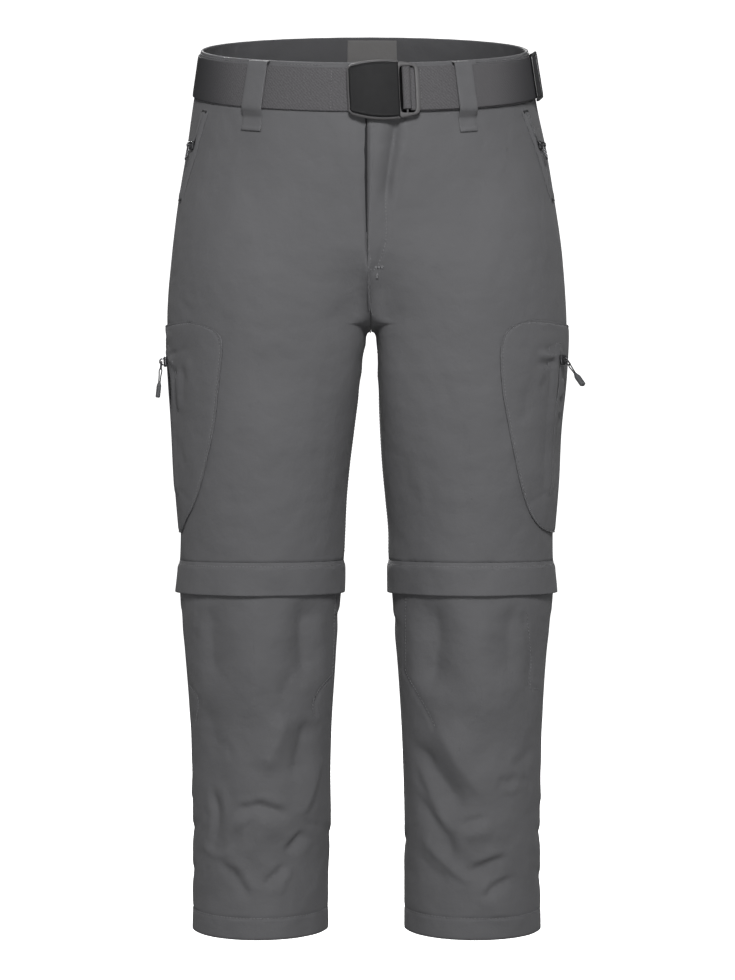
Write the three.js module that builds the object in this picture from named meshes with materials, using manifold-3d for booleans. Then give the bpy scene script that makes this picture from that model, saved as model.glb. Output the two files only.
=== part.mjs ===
// Convertible zip-off trousers with a webbing belt, hollow, as they are when worn.
// Millimetres, +Z up, front faces -Y, origin at the centre of the waist opening.
import * as THREE from 'three';
import { mergeVertices } from 'three/addons/utils/BufferGeometryUtils.js';
import Module from 'manifold-3d';

const wasm = await Module();
wasm.setup();

// Driving dimensions
const clothThick = 1.6;
const waistbandThick = 2.6;
const hemThick = 3.0;
const seamGap = 0.3;
const waistbandHeight = 46;
const crotchHeight = -281;
const frontCurveTop = -195;
const backCurveTop = -140;
const thighShapeTop = -60;
const thighShapeEnd = -250;
const thighCloseReach = 0.24;
const crotchOffset = 3.5;
const archRise = 10;
const waistLean = 0.325;
const kneeSeam = -510;
const flapBottom = -541;
const lowerLegTop = -526;
const hemHeight = -876;
const hemTurnUp = 20;
const strapWidth = 40;
const strapTop = -5.2;
const strapThick = 1.8;
const strapOut = 0.4;
const outerStrapOut = 2.6;
const buckle = { width: 67, height: 55, cornerHeight: 44, middleX: 15, middleZ: -26.5, shear: 0.045 };
const adjusterAngle = 81;
const waistStep = 6;
const waistRadius = 155;
const loopWidth = 18;
const wideLoopWidth = 21;
const loopLength = 68;

// Outline of the garment: half widths to the left and right, and depths to the front and back
const outlineRows = [
  { z: 30, left: 164, right: 158, front: 114, back: 116 },
  { z: 0, left: 166.5, right: 160.5, front: 117, back: 119 },
  { z: -30, left: 170.5, right: 165, front: 119, back: 123 },
  { z: -60, left: 175, right: 170, front: 120, back: 127 },
  { z: -100, left: 180.5, right: 178.5, front: 119, back: 131 },
  { z: -150, left: 188.5, right: 186.5, front: 116, back: 134 },
  { z: -200, left: 194.5, right: 193.5, front: 112, back: 133 },
  { z: -250, left: 199, right: 197.5, front: 107, back: 126 },
  { z: -281, left: 199.5, right: 198.5, front: 104, back: 119 },
  { z: -330, left: 194.5, right: 195, front: 99, back: 110 },
  { z: -380, left: 191, right: 189.5, front: 95, back: 101 },
  { z: -430, left: 189, right: 187.5, front: 91, back: 94 },
  { z: -480, left: 186.5, right: 185, front: 87, back: 89 },
  { z: -510, left: 187, right: 185, front: 84, back: 87 },
  { z: -545, left: 187, right: 185, front: 80, back: 84 },
  { z: -600, left: 182.3, right: 179, front: 76, back: 80 },
  { z: -650, left: 178.3, right: 175.5, front: 72, back: 76 },
  { z: -700, left: 176, right: 173.8, front: 68, back: 72 },
  { z: -760, left: 174.5, right: 172.3, front: 65, back: 68 },
  { z: -820, left: 174.5, right: 172.5, front: 63, back: 66 },
  { z: -876, left: 175, right: 173, front: 62, back: 65 },
];

// Where the inner edge of each leg runs, as x at each height
const inseamRows = [
  { z: -281, left: -3.5, right: 3.5 },
  { z: -291, left: -1.5, right: 8.5 },
  { z: -311, left: -4.5, right: 9.5 },
  { z: -335, left: -7.5, right: 10.5 },
  { z: -359, left: -10.5, right: 11.5 },
  { z: -383, left: -13.5, right: 12.5 },
  { z: -415, left: -17.5, right: 14.5 },
  { z: -447, left: -20.5, right: 17.5 },
  { z: -479, left: -22, right: 20.5 },
  { z: -510, left: -23.5, right: 21 },
  { z: -545, left: -26.5, right: 24.5 },
  { z: -574, left: -29.5, right: 26.5 },
  { z: -622, left: -32.5, right: 30.5 },
  { z: -670, left: -35.5, right: 33.5 },
  { z: -718, left: -36.8, right: 35.5 },
  { z: -766, left: -37.5, right: 36.5 },
  { z: -826, left: -39, right: 36.5 },
  { z: -876, left: -39, right: 36.5 },
];

// Front edge of each cargo pocket, as its reach forward from the side of the leg
const pocketRows = [
  { z: -277, left: 26, right: 42 },
  { z: -284, left: 46, right: 60 },
  { z: -292, left: 57, right: 67 },
  { z: -304, left: 59, right: 70.5 },
  { z: -320, left: 56, right: 69.5 },
  { z: -345, left: 51, right: 65 },
  { z: -372, left: 46, right: 57 },
  { z: -400, left: 39, right: 49.5 },
  { z: -430, left: 30, right: 42 },
  { z: -455, left: 19.5, right: 33 },
  { z: -472, left: 9, right: 24.5 },
  { z: -482, left: 4, right: 17 },
];

// Largest folds of the cloth: middle, half length, half width, turn from upright and height
const foldRows = [
  { side: -1, half: -1, x: -104, z: -764, length: 34, width: 16, turn: 80, height: 3.0 },
  { side: -1, half: -1, x: -143, z: -770, length: 40, width: 12, turn: 4, height: -2.6 },
  { side: -1, half: -1, x: -58, z: -730, length: 60, width: 14, turn: -18, height: 2.8 },
  { side: -1, half: -1, x: -130, z: -820, length: 40, width: 12, turn: 48, height: -2.4 },
  { side: -1, half: -1, x: -78, z: -800, length: 34, width: 11, turn: -35, height: -2.2 },
  { side: 1, half: -1, x: 94, z: -718, length: 44, width: 14, turn: 38, height: -3.0 },
  { side: 1, half: -1, x: 76, z: -790, length: 38, width: 12, turn: 22, height: -2.6 },
  { side: 1, half: -1, x: 104, z: -768, length: 26, width: 14, turn: 78, height: 2.8 },
  { side: 1, half: -1, x: 118, z: -812, length: 36, width: 12, turn: -68, height: -2.4 },
  { side: 1, half: -1, x: 128, z: -845, length: 34, width: 12, turn: -50, height: 2.2 },
  { side: -1, half: 1, x: -104, z: -560, length: 60, width: 16, turn: 82, height: -2.6 },
  { side: 1, half: 1, x: 100, z: -566, length: 60, width: 16, turn: -80, height: -2.6 },
  { side: -1, half: 1, x: -96, z: -790, length: 50, width: 15, turn: 60, height: -2.6 },
  { side: 1, half: 1, x: 92, z: -800, length: 50, width: 15, turn: -58, height: -2.6 },
  { side: -1, half: 1, x: -70, z: -300, length: 60, width: 16, turn: 62, height: -2.6 },
  { side: 1, half: 1, x: 74, z: -302, length: 60, width: 16, turn: -62, height: -2.6 },
];

// Helpers
const clamp = THREE.MathUtils.clamp;
const lerp = THREE.MathUtils.lerp;
const smooth = (s) => THREE.MathUtils.smoothstep(s, 0, 1);
const edgeName = (side) => (side < 0 ? 'left' : 'right');

// Reads one column of a table at a height, on a smooth curve through its rows
function read(rows, z, name) {
  const last = rows.length - 1;
  const height = clamp(z, rows[last].z, rows[0].z);
  let i = 0;
  while (i < last - 1 && rows[i + 1].z > height) i += 1;
  const slopeAt = (k) => {
    const a = rows[Math.max(k - 1, 0)];
    const b = rows[Math.min(k + 1, last)];
    return (b[name] - a[name]) / (b.z - a.z);
  };
  const span = rows[i + 1].z - rows[i].z;
  const s = (height - rows[i].z) / span;
  const s2 = s * s;
  const s3 = s2 * s;
  return (2 * s3 - 3 * s2 + 1) * rows[i][name] + (s3 - 2 * s2 + s) * span * slopeAt(i)
    + (3 * s2 - 2 * s3) * rows[i + 1][name] + (s3 - s2) * span * slopeAt(i + 1);
}

// Inner edge of one side: the centre seam above the crotch, then the inseam under a small arch
function innerEdge(side, z) {
  const shift = crotchOffset * clamp((-200 - z) / 81, 0, 1) ** 2;
  const start = shift + side * seamGap / 2;
  if (z > crotchHeight) return start;
  const opened = clamp((crotchHeight - z) / archRise, 0, 1);
  const edge = read(inseamRows, Math.min(z, crotchHeight - archRise), edgeName(side));
  return lerp(start, edge, Math.sqrt(1 - (1 - opened) ** 2));
}

// How far a section has changed from an oval round the hips (0) to two thighs side by side (1)
function thighShare(z) {
  return smooth(clamp((thighShapeTop - z) / (thighShapeTop - thighShapeEnd), 0, 1));
}

// How far the cloth has closed round the thigh: on a quarter circle at the centre seam,
// and more gently on the thigh beside it
function crotchShare(half, t, z) {
  const top = half < 0 ? frontCurveTop : backCurveTop;
  const s = clamp((top - z) / (top - crotchHeight), 0, 1);
  const atSeam = 1 - Math.sqrt(1 - s * s);
  return lerp(atSeam, smooth(s), smooth(clamp(t / thighCloseReach, 0, 1)));
}

function leanAt(z) {
  return waistLean * (1 - smooth(clamp((-50 - z) / 170, 0, 1)));
}

// A point of the outside of the cloth. t runs from the inner edge (0) to the side seam (1)
function basePoint(side, half, t, z) {
  const outer = side * read(outlineRows, z, edgeName(side));
  const inner = innerEdge(side, z);
  const depth = half * read(outlineRows, z, half < 0 ? 'front' : 'back');
  const hipX = inner + (outer - inner) * Math.sin(Math.PI * t / 2);
  const hipY = depth * Math.cos(Math.PI * t / 2);
  const legX = inner + (outer - inner) * (1 - Math.cos(Math.PI * t)) / 2;
  const legY = depth * Math.sin(Math.PI * t);
  const bridgeY = t < 0.5 ? lerp(depth, legY, crotchShare(half, t, z)) : legY;
  const x = lerp(hipX, legX, thighShare(z));
  const y = lerp(hipY, bridgeY, thighShare(z));
  return new THREE.Vector3(x, y, z + leanAt(z) * y);
}

function baseNormal(side, half, t, z) {
  const stepT = 0.004;
  const stepZ = 0.5;
  const alongT = basePoint(side, half, Math.min(t + stepT, 1), z)
    .sub(basePoint(side, half, Math.max(t - stepT, 0), z));
  const alongZ = basePoint(side, half, t, z + stepZ).sub(basePoint(side, half, t, z - stepZ));
  return alongT.cross(alongZ).multiplyScalar(-side * half).normalize();
}

function foldHeight(side, half, x, z) {
  let height = 0;
  for (const fold of foldRows) {
    if (fold.side !== side || fold.half !== half) continue;
    const turn = THREE.MathUtils.degToRad(fold.turn);
    const dx = x - fold.x;
    const dz = z - fold.z;
    const along = (dx * Math.sin(turn) + dz * Math.cos(turn)) / fold.length;
    const across = (dx * Math.cos(turn) - dz * Math.sin(turn)) / fold.width;
    height += fold.height * Math.exp(-along * along - across * across);
  }
  return height;
}

// A point of the cloth, moved out along its normal
function clothPoint(side, half, t, z, out) {
  const point = basePoint(side, half, t, z);
  const height = out + foldHeight(side, half, point.x, z);
  return point.addScaledVector(baseNormal(side, half, t, z), height);
}

// The same round the waist: 0 degrees at the centre front, 90 at the right, -90 at the left
function waistPoint(angle, z, out) {
  const turned = THREE.MathUtils.euclideanModulo(angle + 180, 360) - 180;
  const side = turned < 0 ? -1 : 1;
  const half = Math.abs(turned) <= 90 ? -1 : 1;
  const t = half < 0 ? Math.abs(turned) / 90 : (180 - Math.abs(turned)) / 90;
  const normal = baseNormal(side, half, t, z);
  if (t < 0.004) normal.x = 0;
  return basePoint(side, half, t, z).addScaledVector(normal.normalize(), out);
}

// The same round a leg: 0 degrees at the side seam, forwards to 180 and back to -180 at the inseam
function legPoint(side, angle, z, out) {
  const half = angle >= 0 ? -1 : 1;
  return clothPoint(side, half, 1 - Math.abs(angle) / 180, z, out);
}

// Angle at which the front of the waist has a given x
function waistAngle(x, z) {
  const side = x < 0 ? -1 : 1;
  return side * THREE.MathUtils.radToDeg(Math.asin(Math.abs(x) / read(outlineRows, z, edgeName(side))));
}

// Angle round a leg at which the front lies a given reach in from the side
function reachAngle(side, z, reach) {
  const width = Math.abs(side * read(outlineRows, z, edgeName(side)) - innerEdge(side, z));
  return THREE.MathUtils.radToDeg(Math.acos(1 - 2 * clamp(reach / width, 0, 1)));
}

function signedVolume(positions, faces) {
  const a = new THREE.Vector3();
  const b = new THREE.Vector3();
  const c = new THREE.Vector3();
  let sum = 0;
  for (let i = 0; i < faces.length; i += 3) {
    a.fromArray(positions, faces[i] * 3);
    b.fromArray(positions, faces[i + 1] * 3);
    c.fromArray(positions, faces[i + 2] * 3);
    sum += a.dot(b.cross(c));
  }
  return sum;
}

// Makes a geometry of a closed set of faces, turned so that they point out
function fromFaces(positions, faces) {
  if (signedVolume(positions, faces) < 0) {
    for (let i = 0; i < faces.length; i += 3) [faces[i], faces[i + 1]] = [faces[i + 1], faces[i]];
  }
  const geometry = new THREE.BufferGeometry();
  geometry.setAttribute('position', new THREE.Float32BufferAttribute(positions, 3));
  geometry.setIndex(faces);
  return geometry;
}

// Closed wall over a grid. point(u, v, layer) gives the outside at layer 0 and the inside at 1
function wall(point, across, along) {
  const positions = [];
  const faces = [];
  const row = across + 1;
  const layerSize = row * (along + 1);
  for (let layer = 0; layer < 2; layer += 1) {
    for (let j = 0; j <= along; j += 1) {
      for (let i = 0; i <= across; i += 1) positions.push(...point(i / across, j / along, layer));
    }
  }
  const quad = (a, b, c, d) => faces.push(a, b, c, a, c, d);
  const at = (i, j, layer) => layer * layerSize + j * row + i;
  for (let j = 0; j < along; j += 1) {
    for (let i = 0; i < across; i += 1) {
      quad(at(i, j, 0), at(i + 1, j, 0), at(i + 1, j + 1, 0), at(i, j + 1, 0));
      quad(at(i, j, 1), at(i, j + 1, 1), at(i + 1, j + 1, 1), at(i + 1, j, 1));
    }
  }
  for (let i = 0; i < across; i += 1) {
    quad(at(i, 0, 1), at(i + 1, 0, 1), at(i + 1, 0, 0), at(i, 0, 0));
    quad(at(i, along, 0), at(i + 1, along, 0), at(i + 1, along, 1), at(i, along, 1));
  }
  for (let j = 0; j < along; j += 1) {
    quad(at(0, j, 0), at(0, j + 1, 0), at(0, j + 1, 1), at(0, j, 1));
    quad(at(across, j, 1), at(across, j + 1, 1), at(across, j + 1, 0), at(across, j, 0));
  }
  return fromFaces(positions, faces);
}

function toSolid(geometry) {
  const bare = geometry.clone();
  bare.deleteAttribute('normal');
  bare.deleteAttribute('uv');
  const merged = mergeVertices(bare, 1e-4);
  return new wasm.Manifold(new wasm.Mesh({
    numProp: 3,
    vertProperties: new Float32Array(merged.attributes.position.array),
    triVerts: new Uint32Array(merged.index.array),
  }));
}

function toGeometry(solid) {
  const mesh = solid.getMesh();
  const geometry = new THREE.BufferGeometry();
  geometry.setAttribute('position', new THREE.BufferAttribute(mesh.vertProperties, 3));
  geometry.setIndex(new THREE.BufferAttribute(mesh.triVerts, 1));
  return geometry;
}

function join(geometries) {
  return toGeometry(geometries.map(toSolid).reduce((sum, solid) => sum.add(solid)));
}

// Materials
function material(name, color, roughness, metalness = 0) {
  const made = new THREE.MeshStandardMaterial({ color, roughness, metalness });
  made.name = name;
  return made;
}
const nylon = () => material('shell_cloth', 0x5d5d5f, 0.8);
const webbing = () => material('webbing', 0x555456, 0.85);
const zipTape = () => material('zip_tape', 0x1d1d1f, 0.7);
const darkMetal = () => material('dark_metal', 0x3a3a3c, 0.45, 0.8);
const blackPlastic = () => material('black_plastic', 0x343536, 0.5);
const greyPlastic = () => material('grey_plastic', 0x707173, 0.6);
const labelCloth = () => material('label_cloth', 0x5d5b58, 0.9);

const garment = new THREE.Group();

function add(name, geometry, finish, parent = garment) {
  const mesh = new THREE.Mesh(geometry, finish);
  mesh.name = name;
  parent.add(mesh);
}

const sides = [-1, 1];
const halves = [-1, 1];
const halfName = (half) => (half < 0 ? 'front' : 'back');

// Share of t that half a seam gap takes at one end of a section
function seamShare(side, half, t, z) {
  const step = 0.002;
  const other = t < 0.5 ? t + step : t - step;
  const length = basePoint(side, half, t, z).distanceTo(basePoint(side, half, other, z));
  return (seamGap / 2) * step / length;
}

function panelT(side, half, u, z) {
  const start = z < crotchHeight + archRise ? seamShare(side, half, 0, z) : 0;
  const end = 1 - seamShare(side, half, 1, z);
  return lerp(start, end, u);
}

// Waistband: a front piece on each side and one back piece
function addWaistband() {
  const bottom = -waistbandHeight + seamGap / 2;
  for (const side of sides) {
    const front = (u, v, layer) => {
      const z = lerp(bottom, 0, v);
      return clothPoint(side, -1, panelT(side, -1, u, z), z, -layer * waistbandThick);
    };
    add(`waistband_front_${edgeName(side)}`, wall(front, 90 / waistStep, 1), nylon());
  }
  const halfAngle = 89.9;
  const back = (u, v, layer) => waistPoint(180 + lerp(-halfAngle, halfAngle, u), lerp(bottom, 0, v),
    -layer * waistbandThick);
  add('waistband_back', wall(back, 180 / waistStep, 1), nylon());
}

function addLabel() {
  const width = 53;
  const middle = 5;
  const start = waistbandThick + 0.55;
  const label = (u, v, layer) => {
    const x = middle + (u - 0.5) * width;
    return waistPoint(180 - waistAngle(x, -20), lerp(-42, -3, v), -start - layer * 0.8);
  };
  add('waist_label', wall(label, 6, 2), labelCloth());
}

// Heights of the rows of an upper panel: even at the side seam, closer together at the crotch
function upperRowHeight(half, u, v) {
  const top = -waistbandHeight - seamGap / 2;
  const bottom = kneeSeam + seamGap;
  const curveTop = half < 0 ? frontCurveTop : backCurveTop;
  const hipEnd = 0.22;
  const curveEnd = 0.55;
  const archEnd = 0.68;
  let inner;
  if (v <= hipEnd) inner = lerp(top, curveTop, v / hipEnd);
  else if (v <= curveEnd) {
    const turn = (v - hipEnd) / (curveEnd - hipEnd) * Math.PI / 2;
    inner = lerp(curveTop, crotchHeight, Math.sin(turn));
  } else if (v <= archEnd) {
    const turn = (v - curveEnd) / (archEnd - curveEnd) * Math.PI / 2;
    inner = crotchHeight - archRise * (1 - Math.cos(turn));
  } else inner = lerp(crotchHeight - archRise, bottom, (v - archEnd) / (1 - archEnd));
  return lerp(inner, lerp(top, bottom, v), smooth(clamp(u * 1.3, 0, 1)));
}

function addUpperPanels() {
  for (const side of sides) {
    for (const half of halves) {
      const panel = (u, v, layer) => {
        const z = upperRowHeight(half, u, v);
        return clothPoint(side, half, panelT(side, half, u, z), z, -layer * clothThick);
      };
      add(`upper_${halfName(half)}_${edgeName(side)}`, wall(panel, 12, 19), nylon());
    }
  }
}

function addFlyZip() {
  const width = 26;
  const start = clothThick + 0.7;
  const zip = (u, v, layer) => {
    const z = lerp(-194, -50, v);
    return waistPoint(waistAngle((u - 0.5) * width, z), z, -start - layer * 1.3);
  };
  add('fly_zip', wall(zip, 4, 4), zipTape());
}

// Belt loops stand on the waistband, bridge the strap and end sewn on the panel below it
const loopPlaces = [
  { name: 'front_left', angle: -37.5, lean: -1.6, bridge: 2.9, width: wideLoopWidth },
  { name: 'front_right', angle: 33, lean: 1.2, bridge: 5.0, width: loopWidth },
  { name: 'back_left', angle: -132, lean: 0, bridge: 2.9, width: loopWidth },
  { name: 'back_middle', angle: 180, lean: 0, bridge: 2.9, width: loopWidth },
  { name: 'back_right', angle: 132, lean: 0, bridge: 2.9, width: loopWidth },
];

function addBeltLoops() {
  const thick = 1.4;
  const seat = 0.35;
  for (const place of loopPlaces) {
    const path = [
      { z: -0.5, out: seat }, { z: -1.6, out: (seat + place.bridge) / 2 }, { z: -3.6, out: place.bridge },
      { z: -16, out: place.bridge + 0.3 }, { z: -34, out: place.bridge + 0.3 }, { z: -47, out: place.bridge },
      { z: -51, out: (seat + place.bridge) / 2 }, { z: -55, out: seat }, { z: -loopLength, out: seat },
    ];
    const last = path.length - 1;
    const loop = (u, v, layer) => {
      const step = path[Math.round(v * last)];
      const middle = place.angle + place.lean * (step.z / -loopLength);
      const reach = THREE.MathUtils.radToDeg(place.width / waistRadius);
      return waistPoint(middle + (u - 0.5) * reach, step.z, step.out + (1 - layer) * thick);
    };
    add(`belt_loop_${place.name}`, wall(loop, 3, last), nylon());
  }
}

// Height of the outer strap: over the adjuster's middle bar, and level elsewhere
function outerStrapHeight(angle) {
  const over = Math.exp(-(((angle - adjusterAngle) / 5) ** 2));
  return outerStrapOut + 3.0 * over;
}

function addBelt() {
  const bottom = strapTop - strapWidth;
  const strapEnd = -336;
  const strap = (u, v, layer) => waistPoint(lerp(0, strapEnd, u), lerp(bottom, strapTop, v),
    strapOut + (1 - layer) * strapThick);
  add('belt_strap', wall(strap, -strapEnd / waistStep, 1), webbing());
  const frontPiece = (u, v, layer) => {
    const angle = lerp(14, 97, u);
    return waistPoint(angle, lerp(bottom, strapTop, v), outerStrapHeight(angle) + (1 - layer) * strapThick);
  };
  add('belt_strap_front', wall(frontPiece, 42, 1), webbing());
}

// Adjuster on the strap: two side bars over it, a middle bar under it and a rail above and below
function addAdjuster() {
  const halfReach = 7.5;
  const rail = 3;
  const top = strapTop + 0.5;
  const bottom = strapTop - strapWidth - 0.5;
  const bar = (fromAngle, toAngle, fromZ, toZ, low, high) => wall((u, v, layer) => waistPoint(
    adjusterAngle + lerp(fromAngle, toAngle, u), lerp(fromZ, toZ, v), lerp(high, low, layer)), 4, 1);
  const low = outerStrapOut + 0.15;
  const sideLow = 6.0;
  const high = 8.2;
  const pieces = [
    bar(-halfReach, halfReach, top, top + rail, low, high),
    bar(-halfReach, halfReach, bottom - rail, bottom, low, high),
    bar(-halfReach, -halfReach + 2.2, bottom - 1, top + 1, sideLow, high),
    bar(halfReach - 2.2, halfReach, bottom - 1, top + 1, sideLow, high),
    bar(-1.1, 1.1, bottom - 1, top + 1, low, low + 2.4),
  ];
  add('belt_adjuster', join(pieces), blackPlastic());
}

// Half height of a barrel outline at a place across it: bowed edges and round corners
function barrelHalfHeight(x, size, radius) {
  const share = 2 * x / size.width;
  const bowed = lerp(size.height, size.cornerHeight, share * share) / 2;
  const fromEnd = Math.min(radius, size.width / 2 - Math.abs(x));
  return bowed - radius + Math.sqrt(Math.max(0, radius ** 2 - (radius - fromEnd) ** 2));
}

function box(x, y, z, width, depth, height) {
  const geometry = new THREE.BoxGeometry(width, depth, height);
  return geometry.translate(x, y, z);
}

// A point of the buckle: x and up from its middle, leaning as the buckle does
function bucklePoint(x, up, out) {
  const z = up + buckle.middleZ;
  const across = x - up * buckle.shear + buckle.middleX;
  return waistPoint(waistAngle(across, z), z, out);
}

function buckleSlab(fromX, toX, halfHeight, low, thick, across, along) {
  return wall((u, v, layer) => {
    const x = lerp(fromX, toX, (1 - Math.cos(Math.PI * u)) / 2);
    return bucklePoint(x, (2 * v - 1) * halfHeight(x), low + (1 - layer) * thick);
  }, across, along);
}

// Buckle: a bowed frame with a window for the strap, a raised plate, a bar and a clamp behind
function addBuckle() {
  const frameLow = 5.0;
  const frameThick = 2.6;
  const halfWidth = buckle.width / 2;
  const windowHalfHeight = 21;
  const windowLeft = 14.5;
  const windowRight = 28;
  const barX = (windowLeft + windowRight) / 2;
  const barHalf = 1.7;
  const radius = 4;
  const outline = (x) => barrelHalfHeight(x, buckle, radius);
  const frame = toSolid(buckleSlab(-halfWidth, halfWidth, outline, frameLow, frameThick, 14, 4));
  const window = buckleSlab(windowLeft, windowRight, () => windowHalfHeight, frameLow - 1, frameThick + 2, 4, 4);
  const bar = buckleSlab(barX - barHalf, barX + barHalf, () => windowHalfHeight + 1.5, frameLow + 0.3, 2, 1, 4);
  add('buckle_frame', toGeometry(frame.subtract(toSolid(window)).add(toSolid(bar))), blackPlastic());

  const plateSize = { width: 46, height: buckle.height - 4, cornerHeight: buckle.cornerHeight - 1 };
  const plateMiddle = -halfWidth + plateSize.width / 2 + 1.5;
  const plateHalfHeight = (x) => barrelHalfHeight(x - plateMiddle, plateSize, 3);
  const plateLow = frameLow + frameThick + seamGap;
  const plateLeft = plateMiddle - plateSize.width / 2;
  const plate = buckleSlab(plateLeft, plateLeft + plateSize.width, plateHalfHeight, plateLow, 1.8, 12, 4);
  add('buckle_plate', plate, blackPlastic());

  const clampLow = strapOut + strapThick + seamGap;
  const clampThick = frameLow - seamGap - clampLow;
  add('buckle_clamp', buckleSlab(-29, -15, () => 18, clampLow, clampThick, 4, 2), darkMetal());
  add('belt_turn', sleeveRound(barX, barHalf, frameLow + 1.3), webbing());
}

// Webbing that turns round the buckle's bar: a flat tube as high as the strap is wide
function sleeveRound(x, barHalf, out) {
  const rounds = 12;
  const steps = 3;
  const ring = (turn, layer) => {
    const grow = layer * 1.3;
    return {
      x: x + (barHalf + 1.05 + grow) * Math.cos(turn),
      out: out + (1.6 + grow) * Math.sin(turn),
    };
  };
  const tube = (layer) => closedTube((k, j) => {
    const place = ring(2 * Math.PI * k / rounds, layer);
    const reach = strapWidth / 2 - 0.5 + (1 - layer);
    return bucklePoint(place.x, lerp(-reach, reach, j / steps) + 1.4, place.out);
  }, rounds, steps);
  return toGeometry(toSolid(tube(1)).subtract(toSolid(tube(0))));
}

// A closed rod: rings of points with a flat cap at each end
function closedTube(point, rounds, steps) {
  const positions = [];
  const faces = [];
  for (let j = 0; j <= steps; j += 1) {
    for (let k = 0; k < rounds; k += 1) positions.push(...point(k, j));
  }
  for (let j = 0; j < steps; j += 1) {
    for (let k = 0; k < rounds; k += 1) {
      const next = (k + 1) % rounds;
      const low = j * rounds;
      const high = low + rounds;
      faces.push(low + k, low + next, high + next, low + k, high + next, high + k);
    }
  }
  for (let k = 1; k < rounds - 1; k += 1) {
    faces.push(0, k + 1, k);
    faces.push(steps * rounds, steps * rounds + k, steps * rounds + k + 1);
  }
  return fromFaces(positions, faces);
}

// Zip of each side pocket, laid on the front panel on a slant
const sidePocket = { topT: 0.725, bottomT: 0.885, top: -54, bottom: -152, width: 8, panelWidth: 190 };

function sidePocketPlace(side, z) {
  const share = (sidePocket.top - z) / (sidePocket.top - sidePocket.bottom);
  return lerp(sidePocket.topT, sidePocket.bottomT, share);
}

function addSidePocketZips() {
  const thick = 1.1;
  for (const side of sides) {
    const zip = (u, v, layer) => {
      const z = lerp(sidePocket.bottom, sidePocket.top, v);
      const across = (u - 0.5) * sidePocket.width / sidePocket.panelWidth;
      return clothPoint(side, -1, sidePocketPlace(side, z) + across, z, seamGap + (1 - layer) * thick);
    };
    add(`side_pocket_zip_${edgeName(side)}`, wall(zip, 2, 10), zipTape());
  }
}

// Cargo pocket bag: a wall that stands out from the leg between its front and back edges
const pocketTop = -277;
const pocketBottom = -482;
const pocketBackAngle = 40;
const pocketThick = 1.5;

function pocketHeight(u, v) {
  const edge = (s) => Math.sin(Math.PI * clamp(s, 0, 1)) ** 0.6;
  return 0.6 + 2.2 * edge(u) * edge(v);
}

function pocketAngles(side, z) {
  const front = reachAngle(side, z, read(pocketRows, z, edgeName(side)));
  const share = clamp((z - pocketBottom) / 60, 0, 1);
  const back = -lerp(22, pocketBackAngle, smooth(share));
  return { front, back };
}

function pocketOut(side, angle, z) {
  const { front, back } = pocketAngles(side, z);
  const v = (z - pocketBottom) / (pocketTop - pocketBottom);
  return pocketHeight((angle - back) / (front - back), v);
}

function addCargoPockets() {
  for (const side of sides) {
    const bag = (u, v, layer) => {
      const share = (1 - Math.cos(Math.PI * v)) / 2;
      const z = lerp(pocketBottom, pocketTop, share);
      const { front, back } = pocketAngles(side, z);
      return legPoint(side, lerp(back, front, u), z, pocketHeight(u, share) + (1 - layer) * pocketThick);
    };
    add(`cargo_pocket_${edgeName(side)}`, wall(bag, 11, 14), nylon());
  }
}

// Zip on each cargo pocket, straight down near the side of the leg, with a small cover above it
const cargoZip = { leftAngle: 16, rightAngle: 31, top: -306, bottom: -434, width: 9, thick: 1.1 };
const cargoAngle = (side) => (side < 0 ? cargoZip.leftAngle : cargoZip.rightAngle);

function addCargoZips() {
  const legRadius = 95;
  const reach = THREE.MathUtils.radToDeg(cargoZip.width / legRadius);
  for (const side of sides) {
    const ribbon = (from, to, width, low, thick) => wall((u, v, layer) => {
      const z = lerp(from, to, v);
      const angle = cargoAngle(side) + (u - 0.5) * width;
      return legPoint(side, angle, z, pocketOut(side, angle, z) + pocketThick + low + (1 - layer) * thick);
    }, 2, 8);
    const name = edgeName(side);
    add(`cargo_zip_${name}`, ribbon(cargoZip.bottom, cargoZip.top, reach, seamGap, cargoZip.thick), zipTape());
    const cover = ribbon(cargoZip.top + seamGap, cargoZip.top + 9, reach * 1.8, seamGap, 1.3);
    add(`cargo_zip_cover_${name}`, cover, nylon());
  }
}

// A frame on the cloth: x runs along the surface, -y outwards and z up, turned by a few degrees
function surfaceFrame(point, normal, turn = 0) {
  const frame = new THREE.Group();
  frame.position.copy(point);
  frame.rotation.z = Math.atan2(normal.x, -normal.y) - THREE.MathUtils.degToRad(turn);
  garment.add(frame);
  return frame;
}

// Zip slider: a body with a bail on it, whose hole carries the pull
function sliderSolid(size) {
  const body = box(0, -size.depth / 2, 0, size.width, size.depth, size.height);
  const bailShape = new THREE.Shape();
  bailShape.moveTo(-size.depth + 0.5, -size.bail);
  bailShape.lineTo(-size.depth + 0.5, size.bail);
  bailShape.lineTo(-size.pivot - 1.1, size.bail);
  bailShape.lineTo(-size.pivot - 2.4, size.bail - 1.4);
  bailShape.lineTo(-size.pivot - 2.4, -size.bail + 1.4);
  bailShape.lineTo(-size.pivot - 1.1, -size.bail);
  const hole = new THREE.Path();
  hole.absarc(-size.pivot, 0, 1.35, 0, Math.PI * 2, true);
  bailShape.holes.push(hole);
  const bail = new THREE.ExtrudeGeometry(bailShape, { depth: 1.8, bevelEnabled: false, curveSegments: 6 });
  bail.rotateY(-Math.PI / 2);
  bail.rotateX(-Math.PI / 2);
  bail.translate(0.9, 0, 0);
  return { body, bail };
}

// Cord pull: a wire link through the bail, a cord and a moulded grip, hung along -z
const pullSizes = { link: 8, linkHalf: 2.7, wire: 1.3, cord: 11, grip: 16, gripWidth: 5.6, gripThick: 3.4 };

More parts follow.
